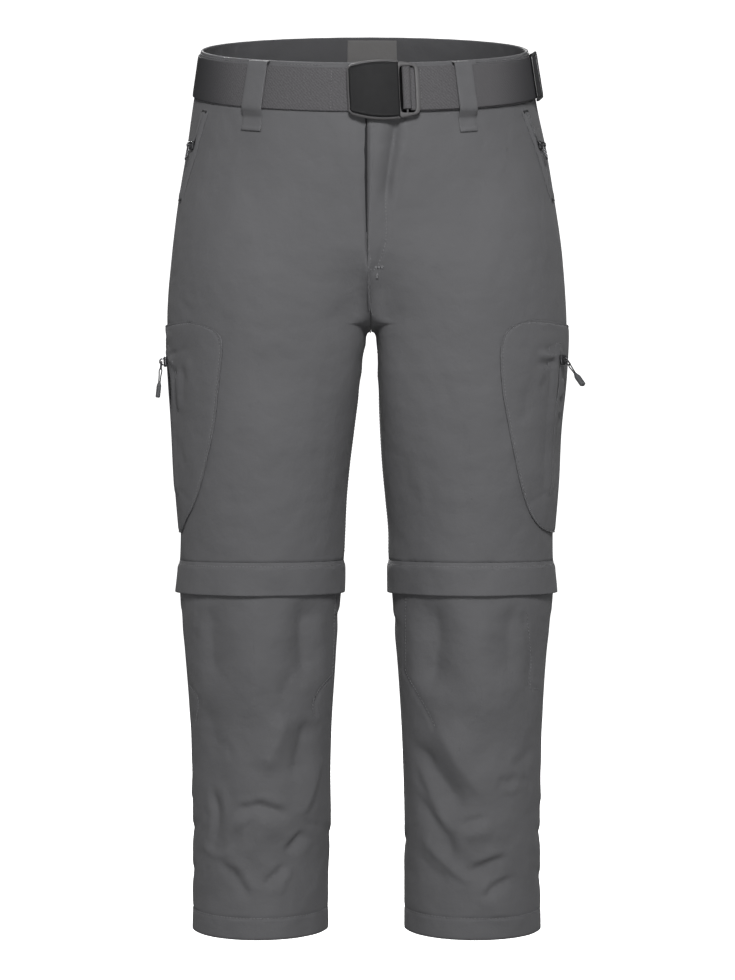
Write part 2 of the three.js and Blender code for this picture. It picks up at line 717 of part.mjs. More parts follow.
function linkSolid(length, halfWidth, wire) {
  const pin = new THREE.CylinderGeometry(wire / 2, wire / 2, halfWidth * 2, 8).rotateZ(Math.PI / 2);
  const armX = halfWidth - wire / 2;
  const arms = sides.map((s) => box(s * armX, 0, -length / 2, wire, wire, length));
  const foot = box(0, 0, -length + wire / 2, halfWidth * 2, wire, wire);
  return join([pin, ...arms, foot]);
}

function gripSolid(start, sizes) {
  const half = sizes.gripWidth / 2;
  const shape = new THREE.Shape();
  shape.moveTo(-half * 0.6, start);
  shape.lineTo(half * 0.6, start);
  shape.quadraticCurveTo(half, start - 3, half, start - 6);
  shape.lineTo(half, start - sizes.grip + 2);
  shape.quadraticCurveTo(half, start - sizes.grip, half - 2, start - sizes.grip);
  shape.lineTo(-half + 2, start - sizes.grip);
  shape.quadraticCurveTo(-half, start - sizes.grip, -half, start - sizes.grip + 2);
  shape.lineTo(-half, start - 6);
  shape.quadraticCurveTo(-half, start - 3, -half * 0.6, start);
  const options = { depth: sizes.gripThick, bevelEnabled: false, curveSegments: 3 };
  const solid = new THREE.ExtrudeGeometry(shape, options).translate(0, 0, -sizes.gripThick / 2);
  return solid.rotateX(Math.PI / 2);
}

const cargoSlider = { width: 8, depth: 3, height: 10, bail: 3.4, pivot: 5.2 };
const cargoSliderZ = -313;
const cargoTilt = { left: 6, right: 44 };
const cargoTurn = { left: 0, right: 24 };

function addCargoPulls() {
  for (const side of sides) {
    const name = edgeName(side);
    const angle = cargoAngle(side);
    const turned = Math.sin(THREE.MathUtils.degToRad(cargoTurn[name])) * cargoSlider.width / 2;
    const seat = pocketOut(side, angle, cargoSliderZ) + pocketThick + cargoZip.thick + 2 * seamGap;
    const lift = seat + 0.25 + turned * 0.9;
    const t = 1 - angle / 180;
    const point = legPoint(side, angle, cargoSliderZ, lift);
    const frame = surfaceFrame(point, baseNormal(side, -1, t, cargoSliderZ), cargoTurn[name]);
    addSlider(`cargo_slider_${name}`, cargoSlider, frame);
    const pull = pullFrame(frame, cargoSlider, cargoTilt[name]);
    const sizes = pullSizes;
    add(`cargo_pull_link_${name}`, linkSolid(sizes.link, sizes.linkHalf, sizes.wire), darkMetal(), pull);
    const cord = new THREE.CylinderGeometry(1.2, 1.2, sizes.cord, 10).rotateX(Math.PI / 2);
    cord.translate(0, 0, -sizes.link - seamGap - sizes.cord / 2);
    add(`cargo_pull_cord_${name}`, cord, blackPlastic(), pull);
    const gripStart = -sizes.link - sizes.cord - 2 * seamGap;
    add(`cargo_pull_grip_${name}`, gripSolid(gripStart, sizes), greyPlastic(), pull);
  }
}

function addSlider(name, size, frame) {
  const { body, bail } = sliderSolid(size);
  add(name, join([body, bail]), darkMetal(), frame);
}

// The pull turns about the bail's hole, tilted out from the cloth
function pullFrame(frame, size, tilt) {
  const pull = new THREE.Group();
  pull.position.set(0, -size.pivot, 0);
  pull.rotation.x = -THREE.MathUtils.degToRad(tilt);
  frame.add(pull);
  return pull;
}

const sideSlider = { width: 7, depth: 2.6, height: 8, bail: 3.2, pivot: 4.8 };
const sideSliderZ = -92;
const sideTilt = 13;

function addSidePulls() {
  for (const side of sides) {
    const name = edgeName(side);
    const t = sidePocketPlace(side, sideSliderZ);
    const lift = 3 * seamGap + 1.1 + 0.3;
    const point = clothPoint(side, -1, t, sideSliderZ, lift);
    const frame = surfaceFrame(point, baseNormal(side, -1, t, sideSliderZ));
    addSlider(`side_slider_${name}`, sideSlider, frame);
    const pull = pullFrame(frame, sideSlider, sideTilt);
    const link = linkSolid(15, 2.5, 1.3);
    add(`side_pull_${name}`, link, darkMetal(), pull);
  }
}

// Storm flap over the knee zip: out from the leg and wider towards its free lower edge
function flapHeight(v) {
  return lerp(4.2, 1.3, v);
}

function addKneeFlaps() {
  const thick = 1.4;
  for (const side of sides) {
    for (const half of halves) {
      const flap = (u, v, layer) => {
        const z = lerp(flapBottom, kneeSeam, v);
        return clothPoint(side, half, panelT(side, half, u, z), z, flapHeight(v) - layer * thick);
      };
      add(`knee_flap_${halfName(half)}_${edgeName(side)}`, wall(flap, 12, 2), nylon());
    }
  }
}

// Knee zip: a band inside the flap that joins the upper leg to the lower leg
function addKneeZips() {
  const start = -0.9;
  const thick = 1.4;
  const openHalf = 179;
  for (const side of sides) {
    const band = (u, v, layer) => {
      const z = lerp(lowerLegTop + seamGap, kneeSeam, v);
      return legPoint(side, lerp(-openHalf, openHalf, u), z, start - layer * thick);
    };
    add(`knee_zip_${edgeName(side)}`, wall(band, 24, 1), zipTape());
  }
}

// Lower leg: a front and a back panel, doubled where the hem is turned up
function addLowerPanels() {
  for (const side of sides) {
    for (const half of halves) {
      const panel = (u, v, layer) => {
        const z = lerp(hemHeight, lowerLegTop, v);
        const doubled = 1 - smooth(clamp((z - hemHeight - hemTurnUp) / 6, 0, 1));
        const thick = lerp(clothThick, hemThick, doubled);
        return clothPoint(side, half, panelT(side, half, u, z), z, -layer * thick);
      };
      add(`lower_${halfName(half)}_${edgeName(side)}`, wall(panel, 10, 13), nylon());
    }
  }
}

addWaistband();
addLabel();
addUpperPanels();
addFlyZip();
addBeltLoops();
addBelt();
addAdjuster();
addBuckle();
addSidePocketZips();
addCargoPockets();
addCargoZips();
addCargoPulls();
addSidePulls();
addKneeFlaps();
addKneeZips();
addLowerPanels();

export default garment;
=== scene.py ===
import math

import bpy
import numpy as np
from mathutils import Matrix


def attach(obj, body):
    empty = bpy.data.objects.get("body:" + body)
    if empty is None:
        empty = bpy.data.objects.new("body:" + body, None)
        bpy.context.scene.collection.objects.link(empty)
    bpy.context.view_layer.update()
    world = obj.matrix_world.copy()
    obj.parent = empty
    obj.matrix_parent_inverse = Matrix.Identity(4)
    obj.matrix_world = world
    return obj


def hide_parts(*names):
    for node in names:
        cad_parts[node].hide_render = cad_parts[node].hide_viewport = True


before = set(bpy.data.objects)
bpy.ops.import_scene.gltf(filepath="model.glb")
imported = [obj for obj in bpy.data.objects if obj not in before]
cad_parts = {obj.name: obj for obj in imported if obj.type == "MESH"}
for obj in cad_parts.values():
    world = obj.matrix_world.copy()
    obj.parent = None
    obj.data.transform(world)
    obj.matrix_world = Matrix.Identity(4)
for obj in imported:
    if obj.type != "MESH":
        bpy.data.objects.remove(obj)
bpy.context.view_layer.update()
print("frame loaded")

# Convertible zip-off trousers with a webbing belt, worn form, hollow. Sizes below are millimetres.

toMetres = 0.001
allParts = []

# ---- camera, floor and light

view = {"distance": 2.0, "height": -0.44, "lens": 73.47, "sensor": 36}


def placeCamera():  # level, straight in front
    data = bpy.data.cameras.new("camera")
    data.sensor_fit = "VERTICAL"
    data.sensor_height = view["sensor"]
    data.lens = view["lens"]
    camera = bpy.data.objects.new("camera", data)
    camera.location = (0, -view["distance"], view["height"])
    camera.rotation_euler = (math.pi / 2, 0, 0)
    bpy.context.scene.collection.objects.link(camera)
    bpy.context.scene.camera = camera


# metres and watts; each lamp is a name, its place, what it is aimed at, its size and its power
studio = {
    "floorDrop": 0.1,
    "floorColor": "#fbfbfb",
    "floorGlow": 1.1,
    "floorReach": 6.0,
    "sweep": 1.2,
    "wallHeight": 6.0,
    "worldStrength": 0.155,
    "lamps": [
        ("key", (0.1, -2.1, 0.9), (0, 0, -0.45), (0.6, 0.6), 44),
        ("fill", (0.1, -2.2, -0.9), (0, 0, -0.75), (0.8, 0.8), 11),
        ("back", (-0.4, 2.0, 1.0), (0, 0, -0.45), (0.5, 0.5), 60),
        ("side-1", (-2.4, 0.4, 0), (0, 0, -0.45), (0.8, 1.0), 4.5),
        ("side1", (2.4, 0.4, 0), (0, 0, -0.45), (0.8, 1.0), 4.5),
    ],
}


def linearColor(hexColor):  # sRGB hex to linear, with alpha
    value = hexColor.lstrip("#")
    channels = [int(value[i:i + 2], 16) / 255 for i in (0, 2, 4)]
    return tuple(c / 12.92 if c <= 0.04045 else ((c + 0.055) / 1.055) ** 2.4 for c in channels) + (1.0,)


def addLamp(name, place, aim, size, power):
    # a soft rectangle turned so that its back points from its aim to its place
    data = bpy.data.lights.new(name, "AREA")
    data.shape = "RECTANGLE"
    data.size, data.size_y = size
    data.energy = power
    lamp = bpy.data.objects.new(name, data)
    lamp.location = place
    away = np.array(place) - np.array(aim)
    flat = math.hypot(away[0], away[1])
    lamp.rotation_euler = (math.atan2(flat, away[2]), 0, math.atan2(away[0], -away[1]))
    lamp.visible_camera = False
    bpy.context.scene.collection.objects.link(lamp)


def placeLights():  # a dim white world and the lamps above
    world = bpy.data.worlds.new("studio")
    bpy.context.scene.world = world
    world.use_nodes = True
    background = world.node_tree.nodes["Background"]
    background.inputs["Color"].default_value = (1, 1, 1, 1)
    background.inputs["Strength"].default_value = studio["worldStrength"]
    for lamp in studio["lamps"]:
        addLamp(*lamp)
    bpy.context.scene.view_settings.view_transform = "Standard"
    bpy.context.scene.view_settings.look = "None"


# ---- the form of the cloth

waistHeight = 46
crotchHeight = -281
kneeSeam = -510
flapBottom = -541
lowerLegTop = -526
hemHeight = -876
seamGap = 0.3
clothThick = 1.6
flapStitch = -513.5
hemStitch = -855.5
waistStitch = -2.5
legRadius = 95

# height, half width left, half width right, depth to the front, depth to the back
outlineRows = [
    (30, 164, 158, 114, 116), (0, 166.5, 160.5, 117, 119), (-30, 170.5, 165, 119, 123),
    (-60, 175, 170, 120, 127), (-100, 180.5, 178.5, 119, 131), (-150, 188.5, 186.5, 116, 134),
    (-200, 194.5, 193.5, 112, 133), (-250, 199, 197.5, 107, 126), (-281, 199.5, 198.5, 104, 119),
    (-330, 194.5, 195, 99, 110), (-380, 191, 189.5, 95, 101), (-430, 189, 187.5, 91, 94),
    (-480, 186.5, 185, 87, 89), (-510, 187, 185, 84, 87), (-545, 187, 185, 80, 84),
    (-600, 182.3, 179, 76, 80), (-650, 178.3, 175.5, 72, 76), (-700, 176, 173.8, 68, 72),
    (-760, 174.5, 172.3, 65, 68), (-820, 174.5, 172.5, 63, 66), (-876, 175, 173, 62, 65),
]

# height, inner edge of the left leg, inner edge of the right leg
inseamRows = [
    (-281, -3.5, 3.5), (-291, -1.5, 8.5), (-311, -4.5, 9.5), (-335, -7.5, 10.5), (-359, -10.5, 11.5),
    (-383, -13.5, 12.5), (-415, -17.5, 14.5), (-447, -20.5, 17.5), (-479, -22, 20.5), (-510, -23.5, 21),
    (-545, -26.5, 24.5), (-574, -29.5, 26.5), (-622, -32.5, 30.5), (-670, -35.5, 33.5),
    (-718, -36.8, 35.5), (-766, -37.5, 36.5), (-826, -39, 36.5), (-876, -39, 36.5),
]

# height, reach of the pocket's front edge forward from the side: left, right
pocketRows = [
    (-277, 26, 42), (-284, 46, 60), (-292, 57, 67), (-304, 59, 70.5), (-320, 56, 69.5), (-345, 51, 65),
    (-372, 46, 57), (-400, 39, 49.5), (-430, 30, 42), (-455, 19.5, 33), (-470, 10, 24),
    (-478, 6, 15), (-482, 4, 5),
]

# large folds: side, half, x, z, half length, half width, turn from upright, height
foldRows = [
    (-1, -1, -104, -764, 34, 16, 80, 3.0), (-1, -1, -143, -770, 40, 12, 4, -2.6),
    (-1, -1, -58, -730, 60, 14, -18, 2.8), (-1, -1, -130, -820, 40, 12, 48, -2.4),
    (-1, -1, -78, -800, 34, 11, -35, -2.2), (1, -1, 94, -718, 44, 14, 38, -3.0),
    (1, -1, 76, -790, 38, 12, 22, -2.6), (1, -1, 104, -768, 26, 14, 78, 2.8),
    (1, -1, 118, -812, 36, 12, -68, -2.4), (1, -1, 128, -845, 34, 12, -50, 2.2),
    (-1, 1, -104, -560, 60, 16, 82, -2.6), (1, 1, 100, -566, 60, 16, -80, -2.6),
    (-1, 1, -96, -790, 50, 15, 60, -2.6), (1, 1, 92, -800, 50, 15, -58, -2.6),
    (-1, 1, -70, -300, 60, 16, 62, -2.6), (1, 1, 74, -302, 60, 16, -62, -2.6),
]

# fine creases on each face of the garment: points across and up, height, half width.
# Front and back count across by x, the left, right and inner faces by y.
creaseRows = {
    "front": [
        ([(30, -30), (25.5, -70), (21.5, -105), (18.5, -140), (17.8, -176)], -5.8, 4.6),
        ([(17.6, -150), (17.4, -190), (16, -224)], -0.8, 4.5),
        ([(-131, -759), (-121, -748), (-104, -745), (-89, -750), (-74, -759)], -3.2, 5),
        ([(-114, -737), (-92, -740), (-73, -749)], 1.4, 5),
        ([(-152, -726), (-148, -751), (-148, -766), (-152, -784), (-146, -794)], -3.4, 4.0),
        ([(-141, -720), (-139, -746), (-142, -769)], 1.2, 4),
        ([(-166, -775), (-159, -791), (-149, -798), (-130, -793)], 1.5, 3.2),
        ([(-151, -800), (-132, -810), (-121, -825), (-111, -839)], -2.2, 4.0),
        ([(-130, -796), (-118, -817), (-106, -836)], 1.6, 4.5),
        ([(-61, -771), (-71, -782), (-80, -794)], -3.6, 4.2),
        ([(-77, -802), (-88, -811), (-103, -824)], -2.6, 4.2),
        ([(-71, -806), (-83, -823), (-85, -836)], 1.5, 4.5),
        ([(-41, -693), (-52, -725), (-62, -751), (-69, -763)], 2.6, 5.5),
        ([(-61, -541), (-62, -585), (-58, -633)], -7.0, 13),
        ([(-44, -556), (-46, -595)], 1.0, 6),
        ([(-69, -612), (-79, -628), (-85, -643)], -1.4, 7),
        ([(-112, -533), (-108, -604), (-108, -672)], 3.4, 17),
        ([(-154, -543), (-152, -585), (-150, -633)], -4.0, 11),
        ([(-77, -655), (-88, -684), (-102, -717)], 3.2, 9),
        ([(-57, -659), (-66, -691), (-73, -726)], -6.0, 11),
        ([(-137, -794), (-125, -773), (-102, -755)], -2.6, 7),
        ([(-157, -643), (-148, -686), (-131, -693)], -2.6, 11),
        ([(-155, -765), (-163, -775), (-165, -780), (-159, -790)], -1.4, 2.4),
        ([(-65, -762), (-52, -767), (-37, -775)], -1.2, 2.4),
        ([(-50, -807), (-44, -827), (-48, -842)], 1.0, 6),
        ([(-134, -686), (-135, -701)], -1.0, 2.4),
        ([(-157, -807), (-161, -819)], -1.2, 2.4),
        ([(-165, -548), (-169, -595)], -1.2, 3.0),
        ([(60, -662), (77, -684), (89, -707), (116, -744)], 4.2, 11),
        ([(39, -680), (58, -703), (77, -732), (98, -753)], -6.0, 12),
        ([(43, -697), (57, -726), (68, -751), (82, -777)], 2.6, 6),
        ([(42, -728), (60, -757), (77, -777), (86, -806)], -3.0, 6),
        ([(50, -777), (68, -799), (88, -814), (107, -825)], 1.8, 4),
        ([(47, -788), (60, -809), (82, -823)], -1.6, 6),
        ([(88, -767), (97, -762), (108, -758), (117, -760)], -2.4, 4.5),
        ([(91, -777), (107, -771), (122, -775)], 1.2, 5),
        ([(95, -814), (107, -804), (122, -799), (140, -796)], -2.0, 3.4),
        ([(99, -807), (113, -798), (134, -788)], 1.6, 4.0),
        ([(110, -839), (121, -826), (133, -821), (145, -817)], -2.0, 3.4),
        ([(107, -833), (120, -819), (140, -812)], 1.4, 3.6),
        ([(125, -719), (136, -724), (148, -718)], -1.8, 5),
        ([(128, -730), (140, -733), (151, -726)], 1.2, 4),
        ([(140, -711), (151, -703), (165, -689)], -1.8, 6),
        ([(151, -715), (158, -726), (160, -738)], -1.6, 2.8),
        ([(62, -539), (66, -585), (60, -643)], -7.2, 14),
        ([(109, -537), (111, -604), (115, -682)], 3.6, 18),
        ([(140, -546), (136, -585), (138, -633)], -4.4, 11),
        ([(45, -585), (43, -643)], 1.2, 7),
        ([(151, -558), (154, -575)], -1.4, 2.6),
        ([(158, -601), (158, -628), (166, -637), (166, -659)], -1.6, 3.0),
        ([(49, -768), (42, -775)], -1.2, 2.2),
        ([(39, -836), (44, -844)], -1.0, 3),
        ([(150, -130), (165, -160), (172, -182)], -0.9, 7),
        ([(172, -186), (181, -190), (186, -186)], -1.0, 5),
        ([(-186, -252), (-176, -262), (-165, -270)], -1.0, 4),
        ([(182, -312), (172, -318), (164, -318)], -1.3, 3.4),
        ([(172, -330), (174, -356), (182, -366)], -1.1, 3.6),
        ([(-184, -318), (-176, -326), (-174, -344)], -1.0, 3.4),
        ([(-20, -262), (-34, -276), (-52, -284)], -0.35, 8),
        ([(20, -262), (34, -276), (52, -286)], -0.3, 8),
        ([(-24, -300), (-38, -322), (-44, -352)], -0.6, 9),
        ([(26, -300), (38, -324), (44, -350)], -0.6, 9),
        ([(-60, -880), (-60, -866)], -0.5, 6),
    ],
    "back": [
        ([(-14, -268), (-42, -284), (-78, -292), (-112, -288)], -1.8, 6),
        ([(14, -270), (44, -287), (80, -297), (116, -292)], -1.7, 6),
        ([(-20, -292), (-48, -312), (-70, -318)], -1.2, 5),
        ([(22, -296), (50, -314), (76, -322)], -1.2, 5),
        ([(-30, -240), (-70, -252), (-110, -246)], 0.9, 8),
        ([(34, -236), (72, -250), (108, -248)], 0.9, 8),
        ([(-50, -556), (-84, -548), (-124, -556), (-156, -552)], -1.8, 5.5),
        ([(48, -560), (86, -552), (120, -560), (156, -558)], -1.8, 5.5),
        ([(-60, -584), (-98, -574), (-138, -584)], -1.4, 5),
        ([(56, -590), (92, -580), (132, -588)], -1.4, 5),
        ([(-70, -610), (-100, -604), (-128, -612)], 0.9, 6),
        ([(64, -614), (98, -606), (126, -616)], 0.9, 6),
        ([(-52, -480), (-88, -470), (-130, -482)], -1.0, 7),
        ([(52, -476), (92, -468), (134, -478)], -1.0, 7),
        ([(-150, -752), (-126, -766), (-98, -774)], -1.4, 5),
        ([(-60, -770), (-80, -790), (-110, -800)], -1.5, 5),
        ([(-136, -800), (-112, -822), (-92, -838)], -1.2, 5),
        ([(150, -760), (124, -776), (96, -784)], -1.4, 5),
        ([(58, -776), (82, -798), (112, -806)], -1.5, 5),
        ([(134, -812), (112, -830), (90, -842)], -1.2, 5),
        ([(-104, -110), (-96, -150), (-100, -190)], -0.7, 10),
        ([(102, -112), (96, -150), (102, -194)], -0.7, 10),
    ],
    "left": [
        ([(-40, -762), (-14, -776), (18, -772), (46, -784)], -1.5, 5),
        ([(-30, -806), (4, -822), (34, -818)], -1.3, 5),
        ([(-26, -738), (6, -744), (30, -736)], 0.9, 6),
        ([(-20, -560), (14, -566), (48, -560)], -1.3, 5),
        ([(10, -590), (40, -584)], -1.0, 5),
        ([(-10, -660), (4, -700), (-4, -730)], -0.6, 10),
        ([(-6, -200), (4, -230), (0, -262)], -0.6, 9),
    ],
    "right": [
        ([(-42, -768), (-12, -780), (16, -778), (44, -790)], -1.5, 5),
        ([(-34, -812), (0, -826), (30, -824)], -1.3, 5),
        ([(-24, -742), (8, -750), (34, -744)], 0.9, 6),
        ([(-18, -564), (16, -570), (50, -564)], -1.3, 5),
        ([(12, -596), (42, -590)], -1.0, 5),
        ([(-8, -664), (6, -704), (0, -734)], -0.6, 10),
        ([(-4, -204), (6, -234), (2, -264)], -0.6, 9),
    ],
    "innerLeft": [
        ([(-40, -306), (-6, -300), (34, -308)], -1.2, 6),
        ([(-30, -336), (10, -330), (44, -340)], -0.9, 6),
        ([(-34, -570), (0, -562), (36, -570)], -1.3, 5),
        ([(-30, -770), (2, -784), (36, -778)], -1.3, 5),
    ],
    "innerRight": [
        ([(-42, -308), (-8, -303), (32, -310)], -1.2, 6),
        ([(-28, -340), (10, -334), (42, -344)], -0.9, 6),
        ([(-34, -574), (0, -567), (36, -575)], -1.3, 5),
        ([(-28, -776), (4, -790), (36, -782)], -1.3, 5),
    ],
}

# sewn lines of the front that draw the cloth in: points, depth, half width
seamRows = [
    ([(26.8, -56), (21.5, -105), (17.4, -149), (17.2, -203), (10, -227), (2.4, -235)], -0.6, 2.6),
    ([(-30, -537), (-31.5, -580), (-33, -622)], -0.8, 1.8),
    ([(-33, -622), (-46, -636), (-52, -649), (-50, -661)], -1.0, 2.2),
    ([(36, -545), (36, -580), (36, -619)], -0.8, 1.8),
    ([(36, -619), (48, -640), (55, -652), (65, -671)], -1.0, 2.2),
    ([(-175, -633), (-165, -644), (-167, -667)], -0.9, 2.2),
    ([(153, -559), (158, -605), (159, -632), (167, -636)], -0.9, 2.2),
]

# sewn rings at one height that draw the cloth in: height, depth, half width
ringRows = [(flapStitch, -0.5, 1.6), (hemStitch, -0.7, 1.8)]


def clampShare(value):
    return np.clip(value, 0, 1)


def smooth(value):  # 0 to 1 with level ends
    s = clampShare(value)
    return s * s * (3 - 2 * s)


def mix(a, b, share):
    return a + (b - a) * share


def bell(distance, width):  # 1 at no distance, falling as e to the minus square of distance over width
    return np.exp(-(distance / width) ** 2)


def squared(wave, power):  # a sine or cosine pulled towards a square's corners, with its sign
    return np.sign(wave) * np.abs(wave) ** power


def cubicThrough(knots, values, at):
    # a cubic between each pair of rows, whose slopes come from the rows on both sides
    at = np.clip(at, knots[0], knots[-1])
    i = np.clip(np.searchsorted(knots, at) - 1, 0, len(knots) - 2)
    low = np.maximum(np.arange(len(knots)) - 1, 0)
    high = np.minimum(np.arange(len(knots)) + 1, len(knots) - 1)
    slopes = (values[high] - values[low]) / (knots[high] - knots[low])
    span = knots[i + 1] - knots[i]
    s = (at - knots[i]) / span
    return ((2 * s**3 - 3 * s**2 + 1) * values[i] + (s**3 - 2 * s**2 + s) * span * slopes[i]
            + (3 * s**2 - 2 * s**3) * values[i + 1] + (s**3 - s**2) * span * slopes[i + 1])


def readRows(rows, column, z):  # a column of a table that starts with the highest row
    table = np.array(rows[::-1], float)
    return cubicThrough(table[:, 0], table[:, column], z)


def halfWidth(side, z):  # from the middle of the garment to one side
    return np.where(side < 0, readRows(outlineRows, 1, z), readRows(outlineRows, 2, z))


def innerEdge(side, z, t=0.0):
    # the centre seam above the crotch, then the inseam, opened by a quarter circle; away from the seam
    # the cloth goes over from one to the other over a longer stretch
    start = 3.5 * clampShare((-200 - z) / 81) ** 2
    opened = clampShare((crotchHeight - z) / 10)
    low = np.minimum(z, crotchHeight - 10)
    edge = np.where(side < 0, readRows(inseamRows, 1, low), readRows(inseamRows, 2, low))
    seam = mix(start, edge, np.sqrt(1 - (1 - opened) ** 2))
    cloth = mix(start, edge, smooth((crotchHeight + 36 - z) / 76))
    return mix(seam, cloth, smooth(t / 0.16))


def basePoint(side, half, t, z):
    # an oval round the hips turns into two thighs side by side; t is 0 inside and 1 at the side seam.
    # The front of each thigh is squarer inside, and the crotch rounds under only near its foot.
    t, z = np.broadcast_arrays(np.asarray(t, float), np.asarray(z, float))
    outer = side * halfWidth(side, z)
    inner = innerEdge(side, z, t)
    depth = half * np.where(half < 0, readRows(outlineRows, 3, z), readRows(outlineRows, 4, z))
    hipX = inner + (outer - inner) * np.sin(math.pi * t / 2)
    hipY = depth * np.cos(math.pi * t / 2)
    legX = inner + (outer - inner) * (1 - np.cos(math.pi * t)) / 2
    square = np.where((half < 0) & (t < 0.5), mix(0.38, 1.0, smooth((-300 - z) / 200)), 1.0)
    legY = depth * np.sin(math.pi * np.clip(t, 0, 1)) ** square
    curveTop = np.where(half < 0, -206.0, -140.0)
    gone = clampShare((curveTop - z) / (curveTop - crotchHeight))
    power = np.where(half < 0, 4.0, 2.0)
    closed = mix(1 - (1 - gone**power) ** (1 / power), smooth(gone), smooth(t / 0.24))
    bridgeY = np.where(t < 0.5, mix(depth, legY, closed), legY)
    share = smooth((-60 - z) / 190)
    lean = 0.325 * (1 - smooth((-50 - z) / 170))
    x = mix(hipX, legX, share)
    y = mix(hipY, bridgeY, share)
    return np.stack([x, y, z + lean * y], -1)


def unit(vectors):  # each divided by its length
    return vectors / np.maximum(np.linalg.norm(vectors, axis=-1, keepdims=True), 1e-9)


def dot(a, b):
    return (a * b).sum(-1)


def baseSlopes(side, half, t, z):
    # the slope along t, and the outward normal as the cross product of the slopes along t and z
    stepT = 0.004
    high = np.minimum(t + stepT, 1)
    low = np.maximum(t - stepT, 0)
    alongT = (basePoint(side, half, high, z) - basePoint(side, half, low, z)) / (high - low)[..., None]
    alongZ = basePoint(side, half, t, z + 0.5) - basePoint(side, half, t, z - 0.5)
    flip = np.asarray(-side * half, float)[..., None] if np.ndim(side * half) else -side * half
    normal = np.cross(alongT, alongZ) * flip
    # at the centre seam both cloths face one way
    level = np.where(z > crotchHeight + 1, smooth(t / 0.03), 1.0)
    return alongT, unit(normal * np.stack([level, np.ones_like(level), np.ones_like(level)], -1))


def foldHeight(side, half, x, z):
    # the sum of long bell-shaped mounds, each turned on the cloth
    height = np.zeros_like(x)
    for foldSide, foldHalf, foldX, foldZ, length, width, turn, size in foldRows:
        here = (side == foldSide) & (half == foldHalf)
        angle = math.radians(turn)
        along = ((x - foldX) * math.sin(angle) + (z - foldZ) * math.cos(angle)) / length
        across = ((x - foldX) * math.cos(angle) - (z - foldZ) * math.sin(angle)) / width
        height = height + here * size * np.exp(-along**2 - across**2)
    return height


def gathered(points):  # the length gone at each point of a line, from 0 at its first
    return np.concatenate([[0], np.cumsum(np.linalg.norm(np.diff(points, axis=0), axis=1))])


def lineDistance(points, across, up, stretch):
    # distance to a line of points, the share of its length, and 1 above or outside the line to -1 below,
    # with the surface's own stretch across
    points = np.array(points, float)
    gone = gathered(points)
    best = np.full(across.shape, 1e9)
    share = np.zeros(across.shape)
    above = np.zeros(across.shape)
    for k in range(len(points) - 1):
        ax, az = points[k]
        dx, dz = points[k + 1] - points[k]
        px = across - ax
        pz = up - az
        s = clampShare((px * dx + pz * dz) / (dx * dx + dz * dz))
        distance = np.hypot((px - s * dx) * stretch, pz - s * dz)
        lift = (pz - s * dz + 0.35 * np.sign(across) * (px - s * dx) * stretch) / np.maximum(distance, 1e-6)
        closer = distance < best
        above = np.where(closer, np.clip(lift, -1, 1), above)
        best = np.where(closer, distance, best)
        share = np.where(closer, mix(gone[k], gone[k + 1], s) / gone[-1], share)
    return best, share, above


def faceShare(face, side, half, t):
    # 1 where a face's creases show, fading before the seams that end the face
    if face in ("front", "sewn", "back"):
        return (half > 0 if face == "back" else half < 0) * smooth((1 - t) / 0.05)
    if face in ("left", "right"):
        return (side == (-1 if face == "left" else 1)) * smooth((t - 0.5) / 0.15)
    return (side == (-1 if face == "innerLeft" else 1)) * smooth((0.5 - t) / 0.15)


# how far a crease is worked out, and where its shoulder lies, in half widths; how much its two flanks are
# stretched; the shares of a round and of a crisp profile and of the shoulder; the faded share at its ends
creaseShape = {"reach": 7, "steep": 0.75, "gentle": 1.9, "round": 0.45, "crisp": 0.55, "shoulder": 0.18,
               "shoulderAt": 1.9, "fadedEnds": 0.3}


def creaseHeight(side, half, t, z, point, alongT):
    # a soft trough or ridge along each line, a lower shoulder on both sides of it, and faded ends
    run = np.linalg.norm(alongT, axis=-1)
    stretchX = np.minimum(run / np.maximum(np.abs(alongT[..., 0]), 1e-6), 4)
    stretchY = np.minimum(run / np.maximum(np.abs(alongT[..., 1]), 1e-6), 4)
    facing = smooth(1.6 / stretchX - 0.35)  # creases of the front and back fade where the cloth turns aside
    shape = creaseShape
    height = np.zeros_like(z)
    for face, rows in [*creaseRows.items(), ("sewn", seamRows)]:
        for points, size, width in rows:
            level = [p[1] for p in points]
            near = (z < max(level) + shape["reach"] * width) & (z > min(level) - shape["reach"] * width)
            shown = faceShare(face, side, half, t) * near
            if not np.any(shown > 0):
                continue
            plain = face in ("front", "back", "sewn")
            across = point[..., 0] if plain else point[..., 1]
            distance, share, above = lineDistance(points, across, z, stretchX if plain else stretchY)
            if face == "sewn":
                height = height + shown * size * bell(distance, width)
                continue
            # a fold falls off gently above its ridge and steeply below it, a trough the other way
            slope = mix(shape["steep"], shape["gentle"], smooth(0.5 + 0.5 * above * np.sign(size)))
            away = distance / slope / width
            ends = smooth(share / shape["fadedEnds"]) * smooth((1 - share) / shape["fadedEnds"])
            profile = (shape["round"] * np.exp(-away**2)
                       + shape["crisp"] * np.exp(0.2 - np.sqrt((away * 1.25) ** 2 + 0.04))
                       - shape["shoulder"] * np.exp(-(away - shape["shoulderAt"]) ** 2))
            height = height + shown * size * ends * (facing if plain else 1) * profile
    return height


def ringHeight(side, t, z, run):
    # a groove at each sewn ring, with puckers that swell and fade along it
    along = t * run / 2.2 + side * 17
    pucker = np.sin(along / 1.9) + 0.7 * np.sin(along / 3.1 + 1.3) + 0.6 * np.sin(along / 5.3 + 0.4)
    height = np.zeros_like(z)
    for level, depth, width in ringRows:
        away = z - level
        height = height + depth * bell(away, width)
        height = height + 0.22 * pucker * bell(away, 6.0) * (1 - bell(away, 2.0))
    return height


